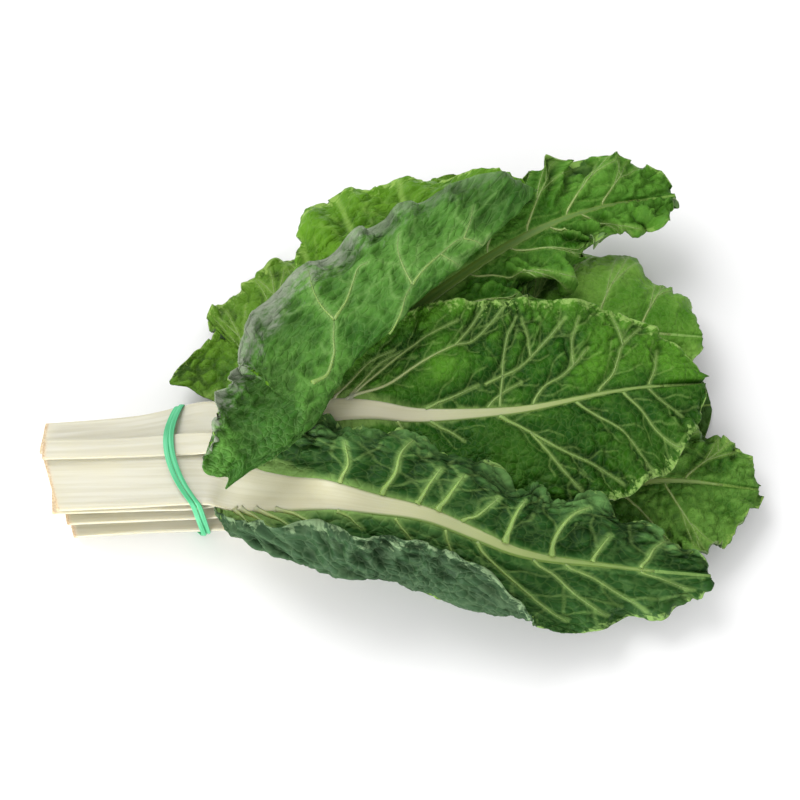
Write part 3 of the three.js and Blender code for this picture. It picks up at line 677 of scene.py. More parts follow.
def make_stalk(leaf, big_veins):
    """The pale piece: the stalk with its cut end, the midrib that it becomes, and the raised veins."""
    bm = bmesh.new()
    rings, sides = leaf["rings"]
    u = np.linspace(0, leaf["start"] + (1 - leaf["start"]) * BLADE_REACH * RIB_END, rings)
    cap = np.array([0, 0.3, 0.55, 0.75, 0.88, 0.96, 1.0])
    ring = np.r_[cap, np.ones(rings - 1), cap[-2::-1]]
    u = np.r_[np.zeros(len(cap) - 1), u, np.full(len(cap) - 1, u[-1])]
    u, angle = np.meshgrid(u, -np.linspace(0, 2 * np.pi, sides), indexing="ij")
    ring = ring[:, None] * np.ones(sides)
    skin = stalk_skin(leaf, u, np.mod(angle, 2 * np.pi) * (np.arange(sides) < sides - 1)) * rise(ring * 8 - 7)
    points = heaved(leaf, stalk_point(leaf, u, angle, ring, skin + 0.35 * (1 - rise(u / 0.35 - 0.6))))
    for at, wide, more in leaf["broad"]:
        sideways = frame_at(leaf, u)[3] * (np.cos(angle) * ring)[..., None]
        points = points + more * np.exp(-(((u - at) / wide) ** 2))[..., None] * sideways
    hollow = 0.5 * (1 - ring**2) + 0.25 * noise(points[..., 1] / 2.5, points[..., 2] / 2.5, leaf["seed"] + 30)
    at_cut = (u == 0) * rise((1 - ring) * 12)
    points[..., 0] += at_cut * hollow
    beyond = rise((u - leaf["start"]) / (1 - leaf["start"]) / 0.95)
    layers = {
        "cut": (u == 0) * 1.0 + (u > 0) * np.exp(-u * 120) * 0.6,
        "green": np.maximum(beyond, leaf["rib_green"] * rise(beyond / 0.04)),
        "foot": u / leaf["start"],
        "flank": np.abs(np.cos(angle)),
    }
    around = np.abs(angle) / math.pi * rib_half(leaf, np.zeros(1))[0] * 1.6
    flat = np.stack([u * leaf["pace"] + ring, around + (1 - ring) * 5], -1)
    shaped_grid(bm, points, layers, flat)
    points, green, ends = tube_rows(leaf, big_veins)
    layers = {"cut": 0, "green": green, "foot": 1, "flank": 0}
    shaped_grid(bm, points, layers, points[..., :2], lambda row, column: row in ends)
    bmesh.ops.remove_doubles(bm, verts=bm.verts, dist=MERGED)
    loose = [vert for vert in bm.verts if not vert.link_faces]
    bmesh.ops.delete(bm, geom=loose, context="VERTS")
    new_piece(leaf["name"] + "_white", bm, [stalk_white], leaf["name"] + "_stalk")


def half(width, **unlike):
    """One half of a blade: how wide it is at five places, and what differs there from a flat plain half."""
    return dict(width=width, lobe=0.07, base=0, lift=0, bend=0, curl=0, fold=0.5, within=1) | unlike


made_leaves = []


def make_leaf(kind, **given):
    """Lays a leaf on the heap and makes its two pieces.

    A leaf has its spine from the cut end to the tip, in millimetres, and start, the share of it where the
    blade begins. stalk is the stalk's half width and thickness, slant how askew its end is cut, and ruffle
    the height, number and phase of the margin's waves. The lift, bend and curl of a half are degrees: at
    the midrib, round the fold, and growing towards the margin. Nibs and bays move a place of the foot and
    of the margin, and broad widens a place of the stalk. shade is how much painted shade the near and the far
    half get.
    """
    leaf = usual_leaf | kind | given
    leaf["spine"] = np.array(leaf["spine"], float)
    foot = along(leaf["spine"], leaf["start"] + 0.01) - along(leaf["spine"], leaf["start"] - 0.01)
    leaf["pace"] = np.linalg.norm(foot) / 0.02
    lay_on_heap(leaf)
    made_leaves.append(leaf)
    big_veins, small_veins = vein_paths(leaf)
    make_blade(leaf, big_veins, small_veins)
    make_stalk(leaf, big_veins)


def mixed(tree, share, first, second):
    """One colour going over into another by a share, which may follow a value."""
    blend = add_node(tree, "ShaderNodeMix", data_type="RGBA", clamp_factor=True)
    for socket, value in ((blend.inputs[0], share), (blend.inputs[6], first), (blend.inputs[7], second)):
        if isinstance(value, bpy.types.NodeSocket):
            tree.links.new(value, socket)
        else:
            socket.default_value = value
    return blend.outputs[2]


def ranged(tree, value, low, high, to_low=0.0, to_high=1.0):
    """A value that runs softly from to_low to to_high while the given one runs from low to high."""
    levels = {"Value": value, "From Min": low, "From Max": high, "To Min": to_low, "To Max": to_high}
    return add_node(tree, "ShaderNodeMapRange", levels, interpolation_type="SMOOTHSTEP").outputs["Result"]


def summed(tree, *parts):
    """The sum of several heights, each with its share."""
    total = 0.0
    for value, share in parts:
        terms = {0: value, 1: share, 2: total}
        total = add_node(tree, "ShaderNodeMath", terms, operation="MULTIPLY_ADD").outputs[0]
    return total


def coated(tree, tone, *coats):
    """A tone under coats of other colours, each with the value that it follows and how its share runs."""
    for over, value, *run in coats:
        tone = mixed(tree, ranged(tree, value, *run), tone, over)
    return tone


def read_layers(tree, *names):
    """The values that were written on the mesh under these names."""
    return (add_node(tree, "ShaderNodeAttribute", attribute_name=name).outputs["Fac"] for name in names)


def leaf_material(
    name, deep, bright, vein, gloss, net, shine=0.12, below=False, hollows=0.9, rim=None, rim_from=0.975
):
    """A leaf's skin: greens that drift, pale by the veins, with a crinkled grain, and painted shade and
    light:
    darker in the hollows of the relief and lighter on its raised parts.

    net says how strong the finest mesh of veins is, hollows how dark the painted shade in the hollows is, and
    rim is the colour of the margin, which is the veins' own if none is given. An underside sees the relief
    from below.
    """
    material, tree = new_material(name)
    # dark is the painted shade for the hollows of the relief, and shaded the painted shade for a part
    # darkened as if in shadow.
    dark, shaded = (tuple(part * level for level in deep[:3]) + (1,) for part in (0.4, 0.75))
    place = add_node(tree, "ShaderNodeTexCoord").outputs["Object"]
    flat = add_node(tree, "ShaderNodeUVMap", uv_map="flat").outputs["UV"]
    cloudy = {"Vector": place, "Scale": 28.0, "Detail": 3.0}
    drift = add_node(tree, "ShaderNodeTexNoise", cloudy).outputs["Fac"]
    speckled = {"Vector": flat, "Scale": 420.0, "Detail": 4.0, "Roughness": 0.6}
    grain = add_node(tree, "ShaderNodeTexNoise", speckled).outputs["Fac"]
    bend = add_node(tree, "ShaderNodeTexNoise", {"Vector": flat, "Scale": 160.0, "Detail": 2.0})
    bent = {0: bend.outputs["Color"], 1: (0.005, 0.005, 0), 2: flat}
    bent = add_node(tree, "ShaderNodeVectorMath", bent, operation="MULTIPLY_ADD").outputs[0]
    mesh = {"Vector": bent, "Scale": 260.0}
    cells = add_node(tree, "ShaderNodeTexVoronoi", mesh).outputs["Distance"]
    edges = add_node(tree, "ShaderNodeTexVoronoi", mesh, feature="DISTANCE_TO_EDGE").outputs["Distance"]
    bend = bend.outputs["Fac"]
    layers = read_layers(tree, "vein", "small", "rib", "height", "foot", "margin", "shade")
    from_vein, from_small, from_rib, height, foot, margin, shade = layers
    height = summed(tree, (height, -1.0 if below else 1.0))
    net_line = ranged(tree, edges, 0.0, 0.16, 1.0, 0.0)
    tone = coated(
        tree,
        deep,
        (bright, drift, 0.35, 0.65),
        # Darker beside the midrib and paler towards the margin: partly the leaf's own tone, partly painted
        # shade by the rib and painted sheen on the raised crests.
        (deep, margin, 0.0, 0.45, 0.6, 0.0),
        (bright, margin, 0.5, 1.0, 0.0, 0.6),
        # Painted light on the raised parts of the relief.
        (bright, height, 0.2, 2.0, 0.0, 0.7),
        (deep, grain, 0.35, 0.75, 0.0, 0.35),
    )
    # Painted shade: the share written as shade darkens the blade as if it lay in shadow.
    tone = mixed(tree, shade, tone, shaded)
    # Painted shade in the hollows of the relief.
    tone = coated(tree, tone, (dark, height, -2.0, 0.3, hollows, 0.0))
    tone = mixed(tree, summed(tree, (net_line, 0.08 * net)), tone, vein)
    pale_foot = ranged(tree, foot, 0.78, 1.0, 0.0, -8.0)
    streaky = summed(tree, (bend, -8.0), (from_rib, 1.0), (pale_foot, 1.0))
    tone = coated(
        tree,
        tone,
        (vein, from_small, 0.1, 1.2, 0.28, 0.0),
        (vein, from_vein, 0.2, 2.2, 0.5, 0.0),
        (vein, streaky, -4.0, 0.5, 0.5, 0.0),
    )
    ragged = summed(tree, (grain, 0.45), (bend, 0.35), (margin, 1.0))
    towards_foot = ranged(tree, foot, 0.25, 0.65, 0.3, 1.0) if rim else 1.0
    rim_share = summed(tree, (ranged(tree, ragged, rim_from + 0.38, 1.42, 0.0, 0.85), towards_foot))
    tone = mixed(tree, rim_share, tone, rim or vein)
    relief = summed(tree, (net_line, -0.2 * net), (cells, -0.9 * net), (grain, 0.8), (bend, 1.6))
    bump = add_node(tree, "ShaderNodeBump", {"Height": relief, "Strength": 0.8, "Distance": 0.0012})
    skin = {
        "Base Color": tone,
        "Roughness": ranged(tree, drift, 0.3, 0.7, gloss, gloss + 0.12),
        "Normal": bump.outputs["Normal"],
        "Specular IOR Level": shine,
    }
    finish_surface(tree, skin)
    return material


# One old bruise on the front leaf's stalk, in metres.
BRUISE = (-0.1625, -0.055, 0.061)


def stalk_material():
    """The stalks' skin: cream white with long fine stripes, greener up the midrib, brown at the old cut."""
    material, tree = new_material("stalk_white")
    flat = add_node(tree, "ShaderNodeUVMap", uv_map="flat").outputs["UV"]
    place = add_node(tree, "ShaderNodeTexCoord").outputs["Object"]
    stretched = add_node(tree, "ShaderNodeMapping", {"Vector": flat, "Scale": (12, 700, 1)}).outputs["Vector"]
    stripes, broad, specks = (
        add_node(tree, "ShaderNodeTexNoise", {"Vector": at, "Scale": size, "Detail": detail}).outputs["Fac"]
        for at, size, detail in ((stretched, 1.0, 3.0), (place, 22.0, 2.0), (place, 900.0, 3.0))
    )
    cut, green, foot, flank = read_layers(tree, "cut", "green", "foot", "flank")
    tone = coated(
        tree,
        colour(195, 192, 175),
        (colour(187, 183, 162), stripes, 0.35, 0.65),
        (colour(194, 188, 156), broad, 0.4, 0.7, 0.0, 0.4),
        (colour(202, 198, 150), foot, 0.7, 1.1, 0.0, 0.35),
        (colour(156, 170, 104), green, 0.05, 0.8),
        (colour(122, 156, 74), green, 0.6, 1.05, 0.0, 0.85),
        (colour(84, 122, 46), green, 1.0, 1.3, 0.0, 0.85),
    )
    on_flank = ranged(tree, summed(tree, (green, 0.5), (flank, 1.0)), 0.8, 1.1)
    greened = {0: on_flank, 1: ranged(tree, green, 0.0, 0.1)}
    greened = add_node(tree, "ShaderNodeMath", greened, operation="MULTIPLY").outputs[0]
    tone = mixed(tree, greened, tone, colour(100, 130, 48))
    browned = coated(tree, colour(205, 184, 150), (colour(166, 128, 92), specks, 0.35, 0.65))
    from_bruise = add_node(tree, "ShaderNodeVectorMath", {0: place, 1: BRUISE}, operation="DISTANCE")
    tone = coated(
        tree,
        tone,
        (browned, cut, 0.1, 0.9, 0.0, 0.75),
        (colour(170, 136, 84), from_bruise.outputs["Value"], 0.001, 0.003, 0.7, 0.0),
    )
    relief = summed(tree, (stripes, 1.0), (specks, 0.15))
    bump = add_node(tree, "ShaderNodeBump", {"Height": relief, "Strength": 0.25, "Distance": 0.0006})
    skin = {
        "Base Color": tone,
        "Roughness": ranged(tree, stripes, 0.3, 0.7, 0.32, 0.46),
        "Normal": bump.outputs["Normal"],
        "Subsurface Weight": 0.5,
        "Subsurface Radius": (1.0, 0.9, 0.6),
        "Subsurface Scale": 0.005,
        "Specular IOR Level": 0.45,
    }
    finish_surface(tree, skin)
    return material


stalk_white = stalk_material()
lower_green = leaf_material(
    "lower_leaf_green", colour(40, 74, 20), colour(64, 104, 34), colour(120, 150, 70), gloss=0.4, net=0.8
)
lower_grey = leaf_material(
    "lower_leaf_underside", colour(58, 88, 46), colour(80, 112, 64), colour(122, 144, 92),
    gloss=0.55, net=1.0, below=True,
)
usual_leaf = dict(
    trail=1.4, smoother=(1, 0), shade=(0, 0), under_rib=2.5, rib_green=0, vein_side=1,
    nibs=[], bays=[], broad=[], drawn=[],
)
hidden_leaf = dict(
    relief=(1.0, 0, 0.8, 1.0, 0.1, 0.8), scallop=0.03, vein=1.0, laterals=7, ladders=0,
    grid=(90, 40), rings=(90, 40), greens=[lower_green, lower_grey],
)
make_leaf(
    hidden_leaf, name="leaf_1", seed=11,
    spine=[(-207, -66, 9.6), (-160, -65, 13.3), (-118, -64, 13), (-98.1, -63.7, 11), (-42, -61.1, 8),
           (20, -70.4, 6), (80, -78.4, 4.2), (131.1, -83.3, 3), (180.9, -87, 2.2)],
    start=0.52, stalk=(14, 10.5), slant=0.3, ruffle=(3, 5, 0.1),
    near=half(40, bend=(10, 10, 5, 0, 0)),
    far=half(60, lift=(-5, -5, 0, 0, 0)),
)
make_leaf(
    hidden_leaf, name="leaf_2", seed=12,
    spine=[(-211, -36.5, 9.6), (-160, -35, 13.3), (-118, -31, 13.5), (-99, -27, 12), (-42.7, -13.2, 8),
           (20.5, -5.8, 7), (86.6, 1.7, 6), (154.7, 9.7, 4), (203.5, 13.8, 2.8)],
    start=0.5, stalk=(14, 10.5), slant=0, ruffle=(4, 5, 0.4),
    near=half(65),
    far=half(72, lift=(-5, -5, 0, 0, 0)),
)


# The lower right leaf: a mid-green blade on its white stalk, its tip shows beyond the front leaf. The stalk
# lies in the second layer under the band. The near margin curls up and the far one down.
half_shown = dict(scallop=0.04, vein=0.9, laterals=7, ladders=3, grid=(160, 72), rings=(90, 40))
right_green = leaf_material(
    "right_leaf_green", colour(48, 94, 20), colour(96, 140, 54), colour(134, 168, 78), gloss=0.4, net=1.2
)
make_leaf(
    half_shown, name="leaf_3", seed=13, greens=[right_green, lower_grey],
    relief=(1.8, 2.2, 1.6, 3.6, 0.35, 2.4),
    spine=[(-209, -60.5, 22.5), (-160, -60, 25.5), (-118, -59, 25.7), (-97, -56, 24), (-37, -62, 26),
           (31, -64, 26), (99, -57, 24), (165, -47, 22), (227, -52, 18)],
    start=0.54, stalk=(16, 10.5), slant=0.25, ruffle=(6, 6, 0.7),
    near=half(
        (62, 62, 70, 76, 76), lift=(-5, -5, -5, 0, 0), bend=(0, -20, -20, -10, 0), curl=(0, 0, 40, 60, 40),
    ),
    far=half(54, lift=(0, 0, 0, 5, 5), bend=(0, 0, 0, 10, 0), curl=(0, 0, -40, -60, 0)),
)


# The leaf at the upper left: bright green on a white stalk, mostly hidden under the topmost one. Its stalk
# lies in the second layer and bends away past the band, and its far lobe hangs beside the stalks.
left_green = leaf_material(
    "left_leaf_green", colour(58, 100, 16), colour(92, 134, 34), colour(136, 168, 78), gloss=0.4, net=1.0
)
make_leaf(
    half_shown, name="leaf_4", seed=14, greens=[left_green, lower_grey],
    relief=(1.8, 0, 1.6, 2.4, 0.25, 1.8), nibs=[(0.62, 0.2, 0.013)], bays=[(1, 0.22, 0.07, 0.14)],
    spine=[(-216, -29, 22.5), (-165, -27.5, 25.5), (-118, -23, 26.2), (-116, -13, 24), (-76, 11, 28),
           (-45, 50, 32), (-14, 90, 32), (20, 133, 28), (54, 168, 22)],
    start=0.41, stalk=(14, 10.5), slant=-0.15, ruffle=(5, 5, 0.2),
    near=half(62, lobe=0, lift=(5, 0, 0, 0, 0)),
    far=half(
        (60, 72, 70, 62, 60), lobe=0.18, base=0.05, lift=(0, -15, -20, -15, 0), bend=(0, -10, -10, -10, 0),
    ),
)


# The leaf behind the middle one: a crumpled bright green blade on a white stalk of the third layer. It
# leans on the leaves below, and its far margin turns over, so that the grey-green underside shows.
rear_green = leaf_material(
    "rear_leaf_green", colour(62, 114, 20), colour(114, 158, 62), colour(140, 176, 94),
    gloss=0.42, net=1.0, shine=0.1,
)
rear_grey = leaf_material(
    "rear_leaf_underside", colour(66, 100, 48), colour(98, 132, 74), colour(146, 168, 110),
    gloss=0.55, net=1.2, below=True,
)
make_leaf(
    half_shown, name="leaf_5", seed=15, greens=[rear_green, rear_grey], grid=(200, 96),
    relief=(1.2, 5.5, 1.5, 4.5, 0.4, 2.8), smoother=(0.5, 0.75), bays=[(1, 0.72, 0.15, 0.08)],
    spine=[(-214, -59, 34.5), (-160, -59, 37.5), (-118, -58, 38.2), (-97, -47, 39), (-41, -28, 42),
           (20, -2, 45), (82, 27, 42), (140, 46, 40), (196, 47, 34)],
    start=0.53, stalk=(15, 10), slant=0.12, ruffle=(7, 6, 0.5),
    near=half(55),
    far=half(
        (74, 78, 88, 104, 96), lift=(10, 8, 8, 5, 0), bend=(0, -10, -20, -20, -20),
        curl=(0, 0, -40, -90, -90),
    ),
)


# The leaf at the upper right: a green blade puckered into a long crumpled lobe, both of its margins turned
# down. Its stalk lies in the third layer under the band, and its midrib is slim and green.
upper_green = leaf_material(
    "upper_leaf_green", colour(42, 90, 12), colour(82, 132, 42), colour(126, 164, 76),
    gloss=0.42, net=1.0, shine=0.1,
)
make_leaf(
    half_shown, name="leaf_6", seed=16, greens=[upper_green, rear_grey], grid=(200, 96),
    relief=(1.2, 5.0, 1.8, 3.4, 0.4, 3.0), near_relief=(1.4, 7.5, 3.0, 4.5, 0.5, 4.5), rib_green=1.3,
    under_rib=5, broad=[(0.6, 0.12, -3)], bays=[(1, 0.6, 0.06, -0.25), (-1, 0.685, 0.035, -0.35)],
    spine=[(-217, -31.3, 34.5), (-163, -29, 37.5), (-118, -23, 39.2), (-93, -15, 43), (-43, 10, 59),
           (13, 56, 61), (70, 101, 58), (123, 128, 56), (183, 143, 50)],
    start=0.5, stalk=(12.5, 10), slant=-0.1, ruffle=(8, 6, 0.3),
    near=half(
        (50, 50, 42, 36, 38), lift=(10, 15, 20, 20, 20), bend=(-40, -40, -60, -60, 0),
        curl=(0, 0, -60, -60, 0),
    ),
    far=half(
        (50, 48, 46, 46, 50), lift=(10, 25, 30, 30, 20), bend=(0, -60, -80, -60, 0),
        curl=(0, 0, 60, 60, 0),
    ),
)


# The middle leaf: a deep green blade lying open and face up, with a broad pale midrib and a fan of cream
# veins at its foot. Its stalk is one of the three on top of the bundle. The veins that the leaf shows are
# placed one by one, each by its size and by the spots that it runs through.
shown_leaf = dict(scallop=0.035, grid=(250, 128), rings=(140, 56))
middle_green = leaf_material(
    "middle_leaf_green", colour(26, 74, 6), colour(78, 130, 30), colour(142, 176, 92),
    gloss=0.38, net=1.0, shine=0.1, rim_from=0.95,
)
middle_grey = leaf_material(
    "middle_leaf_underside", colour(66, 98, 54), colour(92, 124, 76), colour(142, 164, 108),
    gloss=0.55, net=1.0, below=True,
)
make_leaf(
    shown_leaf, name="leaf_7", seed=17, greens=[middle_green, middle_grey], vein_green=0.25,
    # The near half gets painted shade.
    relief=(2.8, 0, 1.8, 2.6, 0.25, 1.2), shade=(0.7, 0),
    broad=[(0.25, 0.07, 3)], bays=[(-1, 0.82, 0.12, 0.14)],
    drawn=[
        (1.3, (0.088, 0.01), (0.175, 0.15), (0.245, 0.35), (0.3, 0.46), (0.352, 0.56), (0.4, 0.64),
         (0.46, 0.95)),
        (1.1, (0.1, 0.01), (0.145, 0.24), (0.21, 0.51), (0.283, 0.69), (0.343, 0.81)),
        (0.9, (0.095, 0.01), (0.128, 0.22), (0.163, 0.43), (0.212, 0.54)),
        (0.9, (0.058, 0.01), (0.098, 0.22), (0.14, 0.46), (0.193, 0.57)),
        (0.6, (0.352, 0.56), (0.38, 0.74), (0.393, 0.86), (0.403, 0.96)),
        (1.1, (0.3, 0.01), (0.362, 0.085), (0.43, 0.19)),
        (0.7, (0.455, 0.01), (0.5, 0.14), (0.542, 0.22)),
        (0.7, (0.487, 0.01), (0.49, 0.25), (0.485, 0.43), (0.487, 0.67), (0.508, 0.84)),
        (0.8, (0.448, 0.2), (0.482, 0.27), (0.535, 0.37), (0.58, 0.53), (0.615, 0.68), (0.64, 0.83)),
        (0.4, (0.562, 0.48), (0.547, 0.68), (0.525, 0.82)),
        (0.8, (0.57, 0.01), (0.605, 0.16), (0.65, 0.24), (0.685, 0.38), (0.708, 0.53)),
        (0.4, (0.677, 0.35), (0.667, 0.59), (0.67, 0.84)),
        (0.8, (0.735, 0.01), (0.772, 0.18), (0.785, 0.4), (0.792, 0.61), (0.825, 0.91)),
        (0.4, (0.792, 0.61), (0.775, 0.8), (0.753, 0.95)),
        (0.6, (0.863, 0.01), (0.88, 0.29), (0.883, 0.68)),
        (1.6, (0.482, -0.01), (0.512, -0.08), (0.54, -0.18), (0.585, -0.41), (0.623, -0.6), (0.66, -0.9)),
        (0.9, (0.54, -0.18), (0.552, -0.39), (0.557, -0.6), (0.56, -0.8)),
        (1.0, (0.675, -0.01), (0.71, -0.23), (0.743, -0.46), (0.753, -0.74), (0.755, -0.96)),
        (0.9, (0.795, -0.01), (0.818, -0.29), (0.828, -0.61), (0.848, -0.89), (0.862, -0.97)),
        (0.5, (0.86, -0.01), (0.885, -0.31), (0.912, -0.66)),
        (1.3, (0.31, -0.01), (0.355, -0.09), (0.383, -0.18)),
        (0.9, (0.225, -0.01), (0.255, -0.12), (0.273, -0.18)),
    ],
    spine=[(-220, -28.5, 45), (-165, -24.5, 48), (-118, -17.5, 50.2), (-98, -25, 54), (-40, -20, 66),
           (15, -20, 60), (74, -14, 56), (133, 0, 52), (193, 11, 40)],
    start=0.47, stalk=(9.5, 10), slant=-0.2, ruffle=(4, 6, 0.15),
    near=half(72, lift=(0, -5, -5, -5, 0)),
    far=half((72, 68, 66, 70, 72), lift=(5, 8, 8, 5, 0)),
)


# The front leaf: a dark green blade on the widest stalk of all, which lies on top under the band. Its far
# half is raised to a crest, and its near half is rolled over, so that the grey-green underside lies as a
# long frilled flap along the front.
front_green = leaf_material(
    "front_leaf_green", colour(30, 74, 20), colour(88, 128, 68), colour(134, 168, 90),
    gloss=0.4, net=1.1, shine=0.11,
)
front_grey = leaf_material(
    "front_leaf_underside", colour(48, 82, 46), colour(80, 112, 76), colour(126, 152, 110),
    gloss=0.5, net=1.6, shine=0.2, below=True, hollows=0.4,
)
make_leaf(
    shown_leaf, name="leaf_8", seed=18, greens=[front_green, front_grey], vein_green=0.6, scallop=0.05,
    # Both halves get painted shade: the near half all over, the far half in a band beside the midrib.
    relief=(-3.0, 0, 2.2, 5.0, 0.4, 3.0), near_relief=(1.8, 0, 2.6, 3.6, 0.5, 3.0), shade=(0.85, 0.85),
    broad=[(0.2, 0.2, 0.6), (0.55, 0.12, -1.5)], bays=[(-1, 0.615, 0.045, -0.27), (-1, 0.85, 0.09, 0.26)],
    drawn=[
        (2.4, (0.385, 0.01), (0.388, 0.065), (0.385, 0.26), (0.38, 0.47)),
        (2.5, (0.427, 0.01), (0.43, 0.12), (0.425, 0.3), (0.417, 0.49)),
        (1.4, (0.48, 0.01), (0.497, 0.1), (0.5, 0.24), (0.497, 0.47)),
        (2.6, (0.58, 0.01), (0.57, 0.18), (0.552, 0.42), (0.547, 0.57)),
        (2.4, (0.688, 0.01), (0.68, 0.18), (0.675, 0.42), (0.685, 0.58), (0.715, 0.72)),
        (1.8, (0.78, 0.01), (0.785, 0.19), (0.79, 0.45)),
        (1.4, (0.875, 0.01), (0.883, 0.25), (0.883, 0.53), (0.895, 0.95)),
        (2.0, (0.312, 0.01), (0.318, 0.25), (0.305, 0.49), (0.305, 0.73)),
        (1.6, (0.223, 0.01), (0.228, 0.25), (0.205, 0.51)),
        (2.8, (0.004, -0.01), (0.03, -0.09), (0.07, -0.26)),
        (2.6, (0.02, -0.005), (0.065, -0.08), (0.11, -0.22)),
        (2.4, (0.06, -0.005), (0.11, -0.07), (0.152, -0.18)),
        (2.2, (0.105, -0.005), (0.155, -0.04), (0.2, -0.13)),
        (1.6, (0.228, -0.005), (0.255, -0.03), (0.28, -0.09)),
        (1.2, (0.345, -0.01), (0.372, -0.085), (0.395, -0.17)),
        (1.0, (0.455, -0.01), (0.485, -0.16), (0.512, -0.28), (0.53, -0.4)),
        (1.2, (0.525, -0.01), (0.583, -0.16), (0.625, -0.36), (0.662, -0.66), (0.68, -0.8)),
        (1.0, (0.647, -0.005), (0.695, -0.18), (0.728, -0.55), (0.76, -0.85)),
        (0.8, (0.72, -0.01), (0.775, -0.2), (0.815, -0.53), (0.848, -0.85)),
        (0.7, (0.875, -0.01), (0.915, -0.18), (0.96, -0.64)),
    ],
    spine=[(-213, -59, 47.5), (-163, -59, 50.5), (-118, -59, 52.2), (-94, -65, 52), (-39, -79, 70),
           (18, -88, 65), (71, -106, 53), (126, -109, 37), (193, -113, 28)],
    start=0.365, stalk=(18, 11), slant=0.34, ruffle=(4.5, 7, 0.25),
    near=half(
        (54, 75, 72, 42, 46), lobe=0.1, lift=(0, -22, -32, -20, -5), bend=(130, 165, 150, -30, -40),
        fold=(0.57, 0.54, 0.54, 0.7, 0.75), within=0.3,
    ),
    far=half(
        (58, 55, 48, 48, 48), lobe=0.05, lift=(35, 46, 42, 30, 10), bend=(-60, -105, -100, -60, 0),
        fold=0.6, within=0.6,
    ),
)


# The topmost leaf: green, folded along its midrib, so that the greyer underside with its raised veins
# faces up, and its lobe hangs over the stalks. Its own thin stalk runs under that lobe to the band.
top_green = leaf_material(
    "top_leaf_green", colour(58, 104, 8), colour(90, 138, 26), colour(140, 176, 80), gloss=0.38, net=1.0
)
top_under = leaf_material(
    "top_leaf_underside", colour(48, 96, 24), colour(84, 134, 50), colour(132, 168, 96),
    gloss=0.46, net=1.4, shine=0.16, below=True, hollows=0.55, rim=colour(142, 150, 132), rim_from=0.82,
)
make_leaf(
    shown_leaf, name="leaf_9", seed=19, greens=[top_green, top_under], vein_green=0.85, vein_side=-1,
    nibs=[(-0.38, 0.05, -0.024)], broad=[(0.25, 0.08, 1.5), (0.1, 0.3, 1.2)],
    relief=(1.6, 0, 1.8, 2.4, 0.3, 2.2), near_relief=(2.4, 0, 2.2, 2.6, 0.5, 4.2),
    drawn=[
        (1.6, (0.193, -0.4), (0.225, -0.32), (0.28, -0.35), (0.31, -0.44), (0.335, -0.53)),
        (1.0, (0.335, -0.53), (0.33, -0.66), (0.33, -0.79), (0.335, -0.94)),
        (1.1, (0.335, -0.53), (0.378, -0.58), (0.417, -0.67), (0.443, -0.73), (0.47, -0.71)),
        (1.2, (0.43, -0.15), (0.45, -0.2), (0.475, -0.24), (0.508, -0.3), (0.545, -0.34)),
        (0.8, (0.545, -0.34), (0.55, -0.49), (0.562, -0.65), (0.585, -0.77)),
        (0.9, (0.545, -0.34), (0.603, -0.38), (0.662, -0.4), (0.72, -0.42), (0.745, -0.4)),
        (0.6, (0.662, -0.4), (0.68, -0.3), (0.7, -0.2)),
        (0.6, (0.745, -0.4), (0.77, -0.3), (0.785, -0.22), (0.81, -0.26)),
        (0.5, (0.745, -0.4), (0.782, -0.52), (0.81, -0.67)),
        (0.8, (0.25, 0.01), (0.33, 0.35), (0.37, 0.7), (0.4, 0.95)),
        (0.8, (0.45, 0.01), (0.53, 0.35), (0.57, 0.7), (0.6, 0.95)),
        (0.8, (0.62, 0.01), (0.7, 0.35), (0.74, 0.7), (0.77, 0.95)),
    ],
    spine=[(-218, -39, 52), (-165, -38.5, 54), (-122, -37, 57), (-91, -42, 70), (-61, -36, 83),
           (-42, 1, 84), (-3, 42, 84), (39, 83, 80), (90, 137, 70)],
    start=0.5, stalk=(5, 6), slant=0, ruffle=(5, 7, 0.6), trail=0.6,
    near=half(
        (104, 84, 78, 78, 84), lobe=0.64, base=0.03, lift=(20, 20, 20, 20, 10),
        bend=(122, 155, 158, 150, 120), curl=(0, -10, -10, -10, 0), fold=0.18, within=0.3,
    ),
    far=half(
        (14, 44, 98, 106, 102), lobe=0.06, lift=(0, -5, -5, -5, 0), bend=(0, 0, -10, -20, -20),
        curl=(-20, -20, -20, 0, 0),
    ),
)


# The rubber band: one loop of mint-green rubber, stretched tight in two turns round all nine stalks below
# the leaves. Its flat strand follows the taut line round them, and the two turns lie side by side and
# change places where they cross.
BAND_X, BAND_BOW, BAND_BOW_AT = -141.0, 0.0095, -32.0
# The strand's half width and half thickness, and how far the turns swing sideways and outwards.
BAND_WIDE, BAND_THICK, BAND_APART, BAND_OVER = 1.6, 0.6, 1.75, 0.8


def band_x(y):
    """Where the band lies along the stalks: it bows a little across the bunch."""
    return BAND_X + BAND_BOW * (y - BAND_BOW_AT) ** 2


def band_line(stations):
    """The taut line round the stalks' sections, as evenly spaced points in y and z."""
    u, angle = np.meshgrid(0.35 * np.arange(41) / 40, np.arange(32) * np.pi / 16, indexing="ij")
    ring = np.concatenate([heaved(leaf, stalk_point(leaf, u, angle)).reshape(-1, 3) for leaf in made_leaves])
    ring = ring[np.abs(ring[:, 0] - band_x(ring[:, 1])) < 5][:, 1:]
    turn = np.radians(np.arange(361))
    out = np.stack([np.cos(turn), np.sin(turn)], -1)
    taut = ring[(out @ ring.T).argmax(1)] + out * (0.5 + BAND_THICK + BAND_OVER)
    lengths = np.r_[0, np.cumsum(np.linalg.norm(np.diff(taut, axis=0), axis=1))]
    want = np.arange(stations) / stations * lengths[-1]
    return np.stack([np.interp(want, lengths, taut[:, n]) for n in (0, 1)], -1)


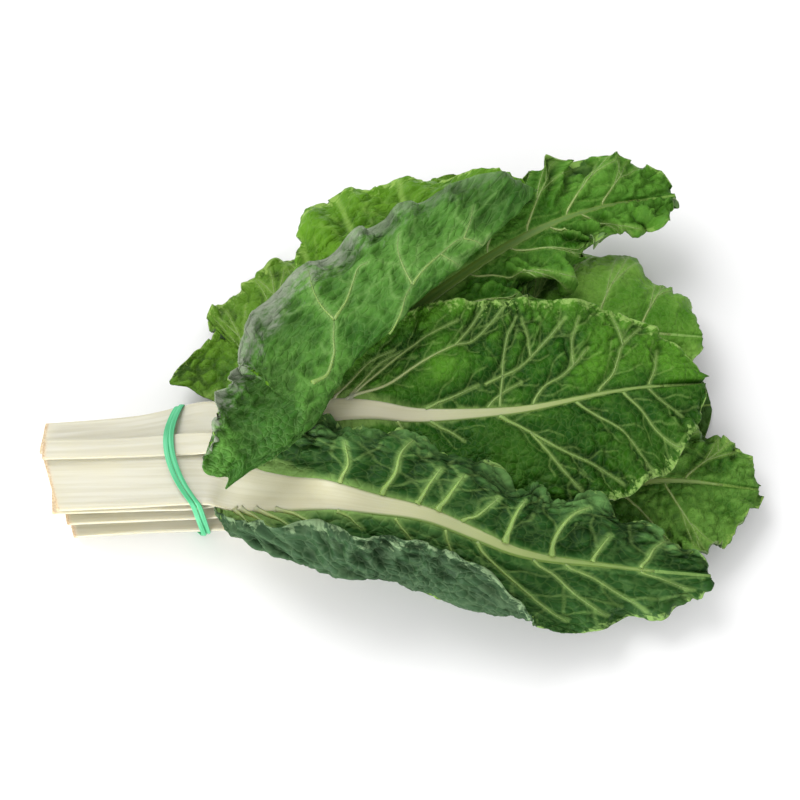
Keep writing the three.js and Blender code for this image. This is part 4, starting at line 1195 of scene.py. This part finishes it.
# The band has this many stations a turn, and its corners are rounded off in a few passes.
TURN = 180
SMOOTHINGS = 3
line = band_line(TURN)
for _ in range(SMOOTHINGS):
    line = 0.25 * np.roll(line, 1, 0) + 0.5 * line + 0.25 * np.roll(line, -1, 0)
step = np.arange(2 * TURN + 1) % (2 * TURN)
middle = line[step % TURN]
run = line[(step + 1) % TURN] - line[(step - 1) % TURN]
out = np.stack([run[:, 1], -run[:, 0]], -1)
out /= np.linalg.norm(out, axis=-1, keepdims=True)
swap = step / TURN * np.pi - 0.75 * np.pi
around = np.linspace(0, 2 * np.pi, 25)
wide = np.sign(np.cos(around)) * np.abs(np.cos(around)) ** 0.6
thick = np.sign(np.sin(around)) * np.abs(np.sin(around)) ** 0.6
uneven = 1 + 0.05 * noise(step / 9, step * 0, 77)
beside = (BAND_APART * np.sin(swap))[:, None] + BAND_WIDE * uneven[:, None] * wide
above = (BAND_OVER * np.cos(swap))[:, None] + BAND_THICK * thick
points = np.empty((len(step), len(around), 3))
points[..., 0] = band_x(middle[:, 0])[:, None] + beside
points[..., 1:] = middle[:, None] + out[:, None] * above[..., None]
flat = np.stack(np.broadcast_arrays(np.arange(len(step))[:, None] * 0.8, around * 1.2), -1)
bm = bmesh.new()
shaped_grid(bm, points, {"green": 0}, flat)
bmesh.ops.remove_doubles(bm, verts=bm.verts, dist=MERGED)
band_green, tree = new_material("band_green")
flat_uv = add_node(tree, "ShaderNodeUVMap", uv_map="flat").outputs["UV"]
long = add_node(tree, "ShaderNodeMapping", {"Vector": flat_uv, "Scale": (60, 1500, 1)}).outputs["Vector"]
streaks = add_node(tree, "ShaderNodeTexNoise", {"Vector": long, "Scale": 1.0, "Detail": 3.0})
streaks = streaks.outputs["Fac"]
tone = coated(tree, colour(56, 160, 106), (colour(98, 190, 142), streaks, 0.3, 0.7))
bump = add_node(tree, "ShaderNodeBump", {"Height": streaks, "Strength": 0.3, "Distance": 0.0003})
finish_surface(
    tree,
    {"Base Color": tone, "Roughness": 0.5, "Normal": bump.outputs["Normal"], "Specular IOR Level": 0.35},
)
new_piece("rubber_band_green", bm, [band_green], "rubber_band")
